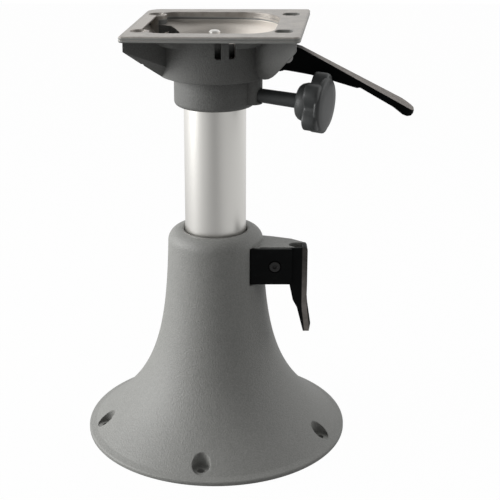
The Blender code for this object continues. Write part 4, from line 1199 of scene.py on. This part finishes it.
    def skirt_under(self) -> Solid:
        """Metal under the bowl's shoulder, behind the drum and inside the wings.

        Returns:
            The solid to add.
        """
        rings = []
        for half, height in ((0.0505, 0.0640), (0.0545, 0.0660), (0.0590, 0.0678), (0.0650, 0.0700),
                             (0.0665, 0.0765)):
            radii = (0.0430, 0.0200, 0.0240, 0.0240)
            rings.append((cornered_box(-half, half - 0.0005, -0.0520, half, radii, 18), height))
        return Solid.lofted("skirt_under", rings)

    def windows(self) -> list[Solid]:
        """Two slots in the drum, with a bar between them.

        Returns:
            The tools that cut them.
        """
        made = []
        outer, corner, floor, top = 0.0031, 0.0025, self.window_floor, 0.0700
        inner = self.drum - self.drum_wall - 0.001
        for side in (-1.0, 1.0):
            shift = side * 0.00695
            low = [(side * -outer, floor)]
            low += arc((side * (outer - corner), floor + corner), corner, 270.0, 270.0 + side * 90.0, 10)
            outline = [(shift + u, v) for u, v in low + [(side * outer, top), (side * -outer, top)]]
            slot = Solid.prism("window", outline, inner, self.drum + 0.01, Along.X)
            made.append(slot.turned(Matrix.Rotation(self.window_azimuth, 4, "Z")))
        return made

    def underside(self) -> Solid:
        """Room of the release lever, less the two ears that hold it.

        Returns:
            The tool that cuts it.
        """
        root_x, root_y = self.root()
        right = self.centre + self.length / 2.0
        tip_x, tip_y = right - self.wing_inset[0], self.width / 2.0 - self.wing_inset[1]
        slope = (tip_y - root_y) / (tip_x - root_x)
        wall = self.wing_wall * math.sqrt(1.0 + slope * slope)
        near_x, far_x = math.sqrt(self.drum ** 2 - 0.0004), right + 0.01
        near_y, far_y = (root_y + slope * (x - root_x) - wall for x in (near_x, far_x))
        back = 0.004
        half = [(far_x, far_y), (near_x, near_y), (near_x - back, near_y - back)]
        ceiling = self.bottom - 0.0030
        room = Solid.prism("under", [(x, -y) for x, y in reversed(half)] + half, 0.0, ceiling)
        kept = [Solid.rod("drum", (0, 0, -OVER), (0, 0, self.top), self.drum + GAP, 144)]
        for sign in (-1.0, 1.0):
            faces = sorted((sign * 0.0082, sign * 0.0132))
            shape = [(0.0840, ceiling + OVER)] + arc((PIVOT_X, PIVOT_Z), 0.0078, 0.0, -100.0, 20)
            shape += [(self.drum - 0.004, 0.0330), (self.drum - 0.004, ceiling + OVER)]
            kept.append(Solid.prism("ear", shape, faces[0], faces[1], Along.Y))
        return room.cut(*kept)

    def knob_point(self, distance: float) -> Point3:
        """Point on the knob's axis."""
        return polar(distance * math.cos(KNOB_DIP), KNOB_AZIMUTH, KNOB_Z - distance * math.sin(KNOB_DIP))

    def outside(self) -> Solid:
        """The casting before anything is bored in it.

        Returns:
            Plate, drum, wings, collar and boss in one solid, with the lever's room cut.
        """
        mount, foot, high = self.plate(), self.collar_height, self.bottom + OVER
        drum = Solid.revolved("drum", [
            (0.0, foot), (self.drum - 0.0014, foot), (self.drum - 0.0004, foot + 0.0004),
            (self.drum, foot + 0.0014), (self.drum, high), (0.0, high)])
        rim = self.collar_edge - self.skirt
        edge = arc((self.collar - self.collar_edge, rim), self.collar_edge, -90.0, 0.0, 14)
        collar = Solid.revolved("collar", [(0.0, -self.skirt)] + edge
                                + [(self.collar, foot + OVER), (0.0, foot + OVER)])
        boss = Solid.rod("boss", polar(self.boss_distance, KNOB_AZIMUTH, rim),
                         polar(self.boss_distance, KNOB_AZIMUTH, foot + OVER), self.boss, 64)
        mount.add(drum, Solid.hull("wing_left", self.wing(-1.0, 0.0)),
                  Solid.hull("wing_right", self.wing(1.0, 0.0)), collar, boss)
        mount.cut(self.underside())
        return mount.add(self.skirt_under())

    def bore_out(self, mount: Solid) -> None:
        """Cuts the drum's hollow, the bore, the windows, and the holes for pins and stud.

        Args:
            mount: the casting.
        """
        foot = self.collar_height + 0.0030
        inner = self.drum - self.drum_wall
        cavity = Solid.revolved("cavity", [
            (self.collar, foot), (inner, foot), (inner, 0.0660), (self.collar + 0.005, 0.0580),
            (self.collar, 0.0520)])
        bore = Solid.rod("bore", (0, 0, -OVER - self.skirt), (0, 0, 0.0438), 0.03555, 144)
        hub = Solid.rod("hub", (0, 0, 0.0418), (0, 0, self.dish_floor + OVER), 0.0083)
        mount.cut(cavity, bore, hub)
        mount.cut(*self.windows())
        mount.cut(Solid.rod("pin", (PIVOT_X, -0.016, PIVOT_Z), (PIVOT_X, 0.016, PIVOT_Z), PIVOT_HOLE),
                  Solid.rod("brake", (0.0330, 0, LINK_Z), (0.0660, 0, LINK_Z), 0.0037),
                  Solid.rod("stud", self.knob_point(0.0325), self.knob_point(0.0505), 0.0051))
        mount.cut(Solid.rod("seat", self.knob_point(0.0485), self.knob_point(0.0895), 0.0080))

    def drill(self, mount: Solid) -> None:
        """Cuts the seat bolts' holes, with square recesses on the right and round lands on the left.

        Args:
            mount: the casting.
        """
        deep, high, half = self.top - self.recess_depth, self.top + OVER, self.recess
        squares = [cornered_box(x - half, x + half, y - half, y + half, (0.0055,) * 4, 10)
                   for x, y in self.holes()[2:]]
        mount.cut(*[Solid.prism("recess", square, deep, high) for square in squares])
        for radius, depth in ((0.0086, 0.0014), (0.0070, 0.0024)):
            mount.cut(*[Solid.rod("land", (x, y, self.top - depth), (x, y, high), radius, 56)
                        for x, y in self.holes()[:2]])
        mount.cut(*[Solid.rod("bolt", (x, y, 0.0), (x, y, deep + OVER), self.bolt_hole, 32)
                    for x, y in self.holes()])

    def build(self) -> None:
        """Builds the casting, rakes its plate and stands it for the CAD node."""
        mount = self.outside()
        mount.cut(self.opening())
        self.bore_out(mount)
        self.drill(mount)
        for vertex in mount.obj.data.vertices:
            share = min(1.0, max(0.0, (vertex.co.z - self.collar_height) / 0.02))
            vertex.co.z += self.rake * vertex.co.x * share
        mount.give("head", "seat_mount", "textured_coat", MOUNT, HEAD)


@dataclass(frozen=True)
class TensionKnob:
    """Five-lobed knob with a round front on a thick stem."""

    seat: float = 0.0488
    stem: float = 0.0074
    bore: float = 0.0051
    bore_end: float = 0.0580
    back: float = 0.0895
    hub: float = 0.0195
    grip: float = 0.1030
    disc: float = 0.1148
    face: float = 0.1213
    disc_radius: float = 0.0270
    disc_edge: float = 0.0042
    radius: float = 0.0312
    notch: float = 0.0085
    lobes: int = 5

    def body(self) -> Solid:
        """Stem, hub and round front.

        Returns:
            The solid, along Z.
        """
        hub, back, disc, rim = self.hub, self.back, self.disc, self.disc_radius
        edge = arc((rim - self.disc_edge, self.face - 0.0048), self.disc_edge, 0.0, 62.0, 10)
        profile = [
            (0.0, self.bore_end), (self.bore, self.bore_end), (self.bore, self.seat),
            (self.stem - 0.0004, self.seat), (self.stem, back), (0.64 * hub, back + 0.0008),
            (0.82 * hub, back + 0.0020), (0.92 * hub, back + 0.0042), (hub, back + 0.0090), (hub, disc),
            (rim - 0.0010, disc), (rim, disc + 0.0015)]
        profile += edge + [(0.55 * rim, self.face - 0.0003), (0.0, self.face)]
        return Solid.revolved("lobed_knob", profile, 120)

    def lobed(self) -> Outline:
        """Outline of the lobes.

        Returns:
            The outline, with a hollow between each two lobes.
        """
        outline, steps = [], 300
        for step in range(steps):
            angle = 2.0 * math.pi * step / steps
            hollow = 0.5 - 0.5 * math.sin(self.lobes * angle)
            radius = self.radius - self.notch * hollow ** 1.6
            outline.append((radius * math.cos(angle), radius * math.sin(angle)))
        return outline

    def build(self) -> None:
        """Builds the knob along its own axis, then lays it in its place."""
        knob, outline = self.body(), self.lobed()
        rings = []
        for scale, height in ((0.90, self.grip), (0.96, self.grip + 0.0004), (0.99, self.grip + 0.0012),
                              (1.0, self.grip + 0.0026), (1.0, self.disc + 0.0002),
                              (0.985, self.disc + 0.0018), (0.95, self.disc + 0.0030),
                              (0.88, self.disc + 0.0038)):
            rings.append(([(u * scale, v * scale) for u, v in outline], height))
        knob.add(Solid.lofted("grip", rings))
        place = HEAD @ Matrix.Translation((0.0, 0.0, KNOB_Z)) @ Matrix.Rotation(KNOB_AZIMUTH, 4, "Z")
        place = place @ Matrix.Rotation(KNOB_DIP, 4, "Y") @ Matrix.Rotation(math.pi / 2.0, 4, "Y")
        knob.give("knob", "tension_knob", "black_plastic", KNOB, place)


@dataclass(frozen=True)
class LockLever:
    """Bent channel: a front cheek with a hub, and a web that runs down as the handle."""

    hub: float = 0.0125
    web: float = 0.0055
    rise: float = 0.0005
    knee: float = 0.0382
    tip: float = 0.0732

    def build(self) -> None:
        """Builds the lever."""
        rear_face = LUG_FRONT - GAP
        front, rear = rear_face - CHEEK, LUG_STEP - 0.0005
        inner = LEVER_X + LUG_END + 0.0008
        outer, edge = inner + self.web, LUG_TOP + self.rise
        outline = (
            arc((LEVER_X, LEVER_Z), self.hub, 100.0, 260.0, 32)
            + [(inner - 0.0131, LUG_BOTTOM - 0.0004), (inner - 0.0092, LEVER_Z - self.knee),
               (inner - 0.0049, LEVER_Z - self.knee - 0.0080), (inner + 0.0019, LEVER_Z - self.tip),
               (outer + 0.0027, LEVER_Z - self.tip), (outer + 0.0041, LEVER_Z - self.tip + 0.0090),
               (outer + 0.0004, LEVER_Z - self.knee - 0.0015), (outer - 0.0002, LEVER_Z - self.knee + 0.006),
               (outer, LUG_BOTTOM)]
            + arc((outer - 0.0030, edge - 0.0030), 0.0030, 0.0, 90.0, 10)
            + [(inner - 0.0004, edge), (inner - 0.0018, LUG_TOP + 0.0002),
               (inner - 0.0115, LUG_TOP + 0.0002)])
        lever = Solid.prism("channel_lever", outline, front, rear, Along.Y)
        left = LEVER_X - self.hub - 0.01
        bottom = LEVER_Z - self.tip - OVER
        room = [(left, edge + OVER), (left, bottom), (inner - 0.0010, bottom),
                (inner - 0.0010, LEVER_Z - self.knee - 0.0120), (inner, LEVER_Z - self.knee),
                (inner, edge + OVER)]
        lever.cut(Solid.prism("hollow", room, rear_face, rear + OVER, Along.Y),
                  Solid.rod("eye", (LEVER_X, front - OVER, LEVER_Z), (LEVER_X, rear_face + OVER, LEVER_Z),
                            SHAFT_HOLE))
        lever.soften(0.0007, 3, 50.0)
        paint = HandlePaint("lever_paint", PAINT.colour, PAINT.roughness, edge=0.0008,
                            specular=PAINT.specular, inner=inner, outer=outer)
        lever.give("lock_handle", "lock_lever", "black_paint", paint)


@dataclass(frozen=True)
class ReleaseLever:
    """Channel lever that narrows to its pivot and widens towards its tip."""

    reach: float = 0.1998
    root: float = 0.0620
    narrow: float = 0.0070
    wide: float = 0.0150
    sheet: float = 0.0025
    crown: float = 0.0600

    def side_view(self) -> Outline:
        """Outline seen from the front.

        Returns:
            The outline, from the root along the underside to the tip and back.
        """
        end, root = self.reach, self.root
        return [
            (root, 0.0372), (root + 0.0012, 0.0354), (root + 0.0032, 0.0346), (root + 0.0055, 0.0346),
            (root + 0.0085, 0.0357), (root + 0.0120, 0.0354), (0.0970, 0.0318), (0.1165, 0.0272),
            (0.1400, 0.0210), (0.1430, 0.0203), (0.1460, 0.0208), (0.1490, 0.0192), (0.1790, 0.0030),
            (end - 0.0110, -0.0044), (end - 0.0070, -0.0060), (end - 0.0032, -0.0060),
            (end - 0.0008, -0.0042), (end, -0.0016), (end - 0.0115, 0.0055), (root + 0.025, 0.0580),
            (root + 0.018, self.crown), (root, self.crown)]

    def half_plan(self) -> Outline:
        """Rear edge seen from above.

        Returns:
            The edge, from the root to the tip.
        """
        end, wide = self.reach, self.wide
        return [(self.root - OVER, self.narrow), (0.0900, self.narrow), (0.1200, self.narrow + 0.0022),
                (end - 0.012, wide), (end - 0.0060, wide - 0.0014), (end - 0.0022, wide - 0.0042),
                (end - 0.0004, wide - 0.0075), (end + OVER, wide - 0.0120)]

    def channel(self) -> Solid:
        """Room under the lever's top and between its sides.

        Returns:
            The tool that cuts it.
        """
        end, root, thick = self.reach, self.root, self.sheet
        stop, back = end - 0.0105, root - 3.0 * OVER
        plan = [(x, y - thick) for x, y in self.half_plan()[:4]]
        plan = [(plan[0][0] - OVER, plan[0][1])] + plan[1:] + [(stop, self.wide - 0.0045)]
        room = Solid.prism("room", plan + [(x, -y) for x, y in reversed(plan)], -0.05, 0.1)
        below = [(back, -0.03), (stop, -0.03), (stop, 0.0020), (root + 0.025, 0.0580 - thick * 1.1),
                 (root + 0.018, self.crown - thick), (back, self.crown - thick)]
        return room.meet(Solid.prism("below", below, -0.03, 0.03, Along.Y))

    def build(self) -> None:
        """Builds the lever in the seat mount's frame."""
        side = self.half_plan()
        wide = self.wide + 0.001
        lever = Solid.prism("channel_handle", self.side_view(), -wide, wide, Along.Y)
        lever.meet(Solid.prism("plan", side + [(x, -y) for x, y in reversed(side)], -0.05, 0.1))
        eye = self.root + 0.0045
        lever.cut(self.channel(),
                  Solid.rod("hole", (PIVOT_X, -0.02, PIVOT_Z), (PIVOT_X, 0.02, PIVOT_Z), PIVOT_HOLE),
                  Solid.rod("eye", (eye, -0.02, LINK_Z), (eye, 0.02, LINK_Z), 0.0018))
        paint = StripPaint("handle_paint", PAINT.colour, PAINT.roughness, edge=0.0009, specular=0.03,
                           start=0.0800)
        lever.give("release_handle", "release_lever", "black_paint", paint, HEAD)


@dataclass(frozen=True)
class Hardware:
    """The smaller CAD pieces, which keep their shapes."""

    nylon: tuple[str, ...] = ("lower_slide_bush", "upper_slide_bush", "brake_pad", "swivel_bush",
                              "thrust_washer", "brake_pin_pad")
    steel: tuple[str, ...] = ("lever_shaft_nut", "brake_cam", "spindle_washer", "spindle_nut",
                              "release_pivot_pin", "front_pin_clip", "rear_pin_clip", "brake_spring",
                              "knob_stud", "release_link_pin", "brake_pin")

    def build(self) -> None:
        """Dresses each of them."""
        dress(self.nylon, NYLON)
        dress(self.steel, STEEL)
        dress(("lever_shaft",), DARK)
        dress(("lock_plate",), PAINT)
        dress(("tube_end_stop",), KNOB)
        dress(("swivel_spindle", "brake_plunger"), TUBE)


# Stage

WHITE = (1.0, 1.0, 1.0, 1.0)


@dataclass(frozen=True)
class Lamp:
    """Square soft lamp that looks at the pedestal."""

    name: str
    place: Point3
    side: float
    watts: float

    def build(self, aim: Point3) -> None:
        """Hangs the lamp.

        Args:
            aim: place that it looks at.
        """
        data = bpy.data.lights.new(self.name, "AREA")
        data.size = self.side
        data.energy = self.watts
        lamp = bpy.data.objects.new(self.name, data)
        lamp.location = self.place
        lamp.rotation_euler = (Vector(aim) - Vector(self.place)).to_track_quat("-Z", "Y").to_euler()
        bpy.context.scene.collection.objects.link(lamp)


@dataclass(frozen=True)
class Studio:
    """Camera, lamps, world and floor."""

    camera_at: Point3 = (0.02032, -1.2003, 0.6427)
    camera_pitch: float = math.radians(17.907)
    lens: float = 87.24
    shift: Point2 = (0.03, -0.10)
    floor_side: float = 6.0
    floor_grey: float = 0.42
    aim: Point3 = (0.0, 0.0, 0.24)
    lamps: tuple[Lamp, ...] = (Lamp("key", (-1.50, -0.10, 0.70), 1.0, 35.0),
                               Lamp("right_fill", (1.4, 0.10, 0.80), 0.9, 5.5))

    def build(self) -> None:
        """Builds everything that isn't the pedestal."""
        bpy.context.scene.view_settings.view_transform = "Standard"
        self.add_camera()
        self.add_world()
        self.add_floor()
        for lamp in self.lamps:
            lamp.build(self.aim)

    def add_camera(self) -> None:
        """Camera at the photograph's place."""
        data = bpy.data.cameras.new("camera")
        data.lens = self.lens
        data.sensor_width = 36.0
        data.shift_x, data.shift_y = self.shift
        data.clip_start = 0.01
        camera = bpy.data.objects.new("camera", data)
        camera.location = self.camera_at
        camera.rotation_euler = (math.pi / 2.0 - self.camera_pitch, 0.0, 0.0)
        bpy.context.scene.collection.objects.link(camera)
        bpy.context.scene.camera = camera

    def add_world(self) -> None:
        """White to the camera; to the pedestal a studio, darker towards the front."""
        world = bpy.data.worlds.new("studio")
        world.use_nodes = True
        bench = Bench(world.node_tree)
        toward = bench.node("ShaderNodeTexCoord", output="Generated")
        x, y, z = (toward.axis(name) for name in "XYZ")
        level = 0.12 + y.ramp(-0.1, 0.9) * 0.85 + z.ramp(0.0, 0.9) * 0.30
        level = level + x.ramp(0.45, 0.95) * 0.22 + (-x).ramp(0.3, 0.9) * 0.45
        seen = bench.node("ShaderNodeLightPath", output="Is Camera Ray")
        level = level * (1.0 - seen) + seen
        back = bench.node("ShaderNodeBackground", None, {"Color": WHITE, "Strength": level})
        bench.close("ShaderNodeOutputWorld", back)
        bpy.context.scene.world = world

    def add_floor(self) -> None:
        """White floor that keeps a trace of the pedestal's shadow, and glows for reflections as a painted
        backdrop, brighter to the sides and rear.
        """
        bm = bmesh.new()
        bmesh.ops.create_grid(bm, x_segments=1, y_segments=1, size=self.floor_side / 2.0)
        mesh = bpy.data.meshes.new("floor")
        bm.to_mesh(mesh)
        bm.free()
        floor = bpy.data.objects.new("floor", mesh)
        floor.location.z = -0.0003
        bpy.context.scene.collection.objects.link(floor)
        material = bpy.data.materials.new("floor_white")
        material.use_nodes = True
        bench = Bench(material.node_tree)
        grey = self.floor_grey
        matt = bench.node("ShaderNodeBsdfDiffuse", None, {"Color": (grey, grey, grey, 1.0)})
        here = bench.place()
        x, y = here.axis("X"), here.axis("Y")
        # Painted reflection: strength of the floor's glow as the tube and other glossy surfaces see it.
        sheen = 0.50 + (-x).ramp(0.05, 1.0) * 0.40 + x.ramp(0.05, 0.6) * 0.34 + y.ramp(0.2, 1.2) * 0.20
        seen = bench.node("ShaderNodeLightPath", output="Is Camera Ray")
        gloss = bench.node("ShaderNodeLightPath", output="Is Glossy Ray")
        glow = bench.node("ShaderNodeEmission", None, {"Color": WHITE, "Strength": seen + gloss * sheen})
        share = (seen * 0.98).most(gloss * 0.9)
        floor_mix = bench.node("ShaderNodeMixShader", None, {0: share, 1: matt, 2: glow})
        bench.close("ShaderNodeOutputMaterial", floor_mix)
        mesh.materials.append(material)


def main() -> None:
    """Builds the stage, then each sub-assembly."""
    logging.basicConfig(level=logging.INFO, format="%(name)s: %(message)s")
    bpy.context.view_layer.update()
    Studio().build()
    for assembly in (Bell(), Column(), SeatMount(), TensionKnob(), LockLever(), ReleaseLever(), Hardware()):
        assembly.build()


if __name__ == "__main__":
    main()
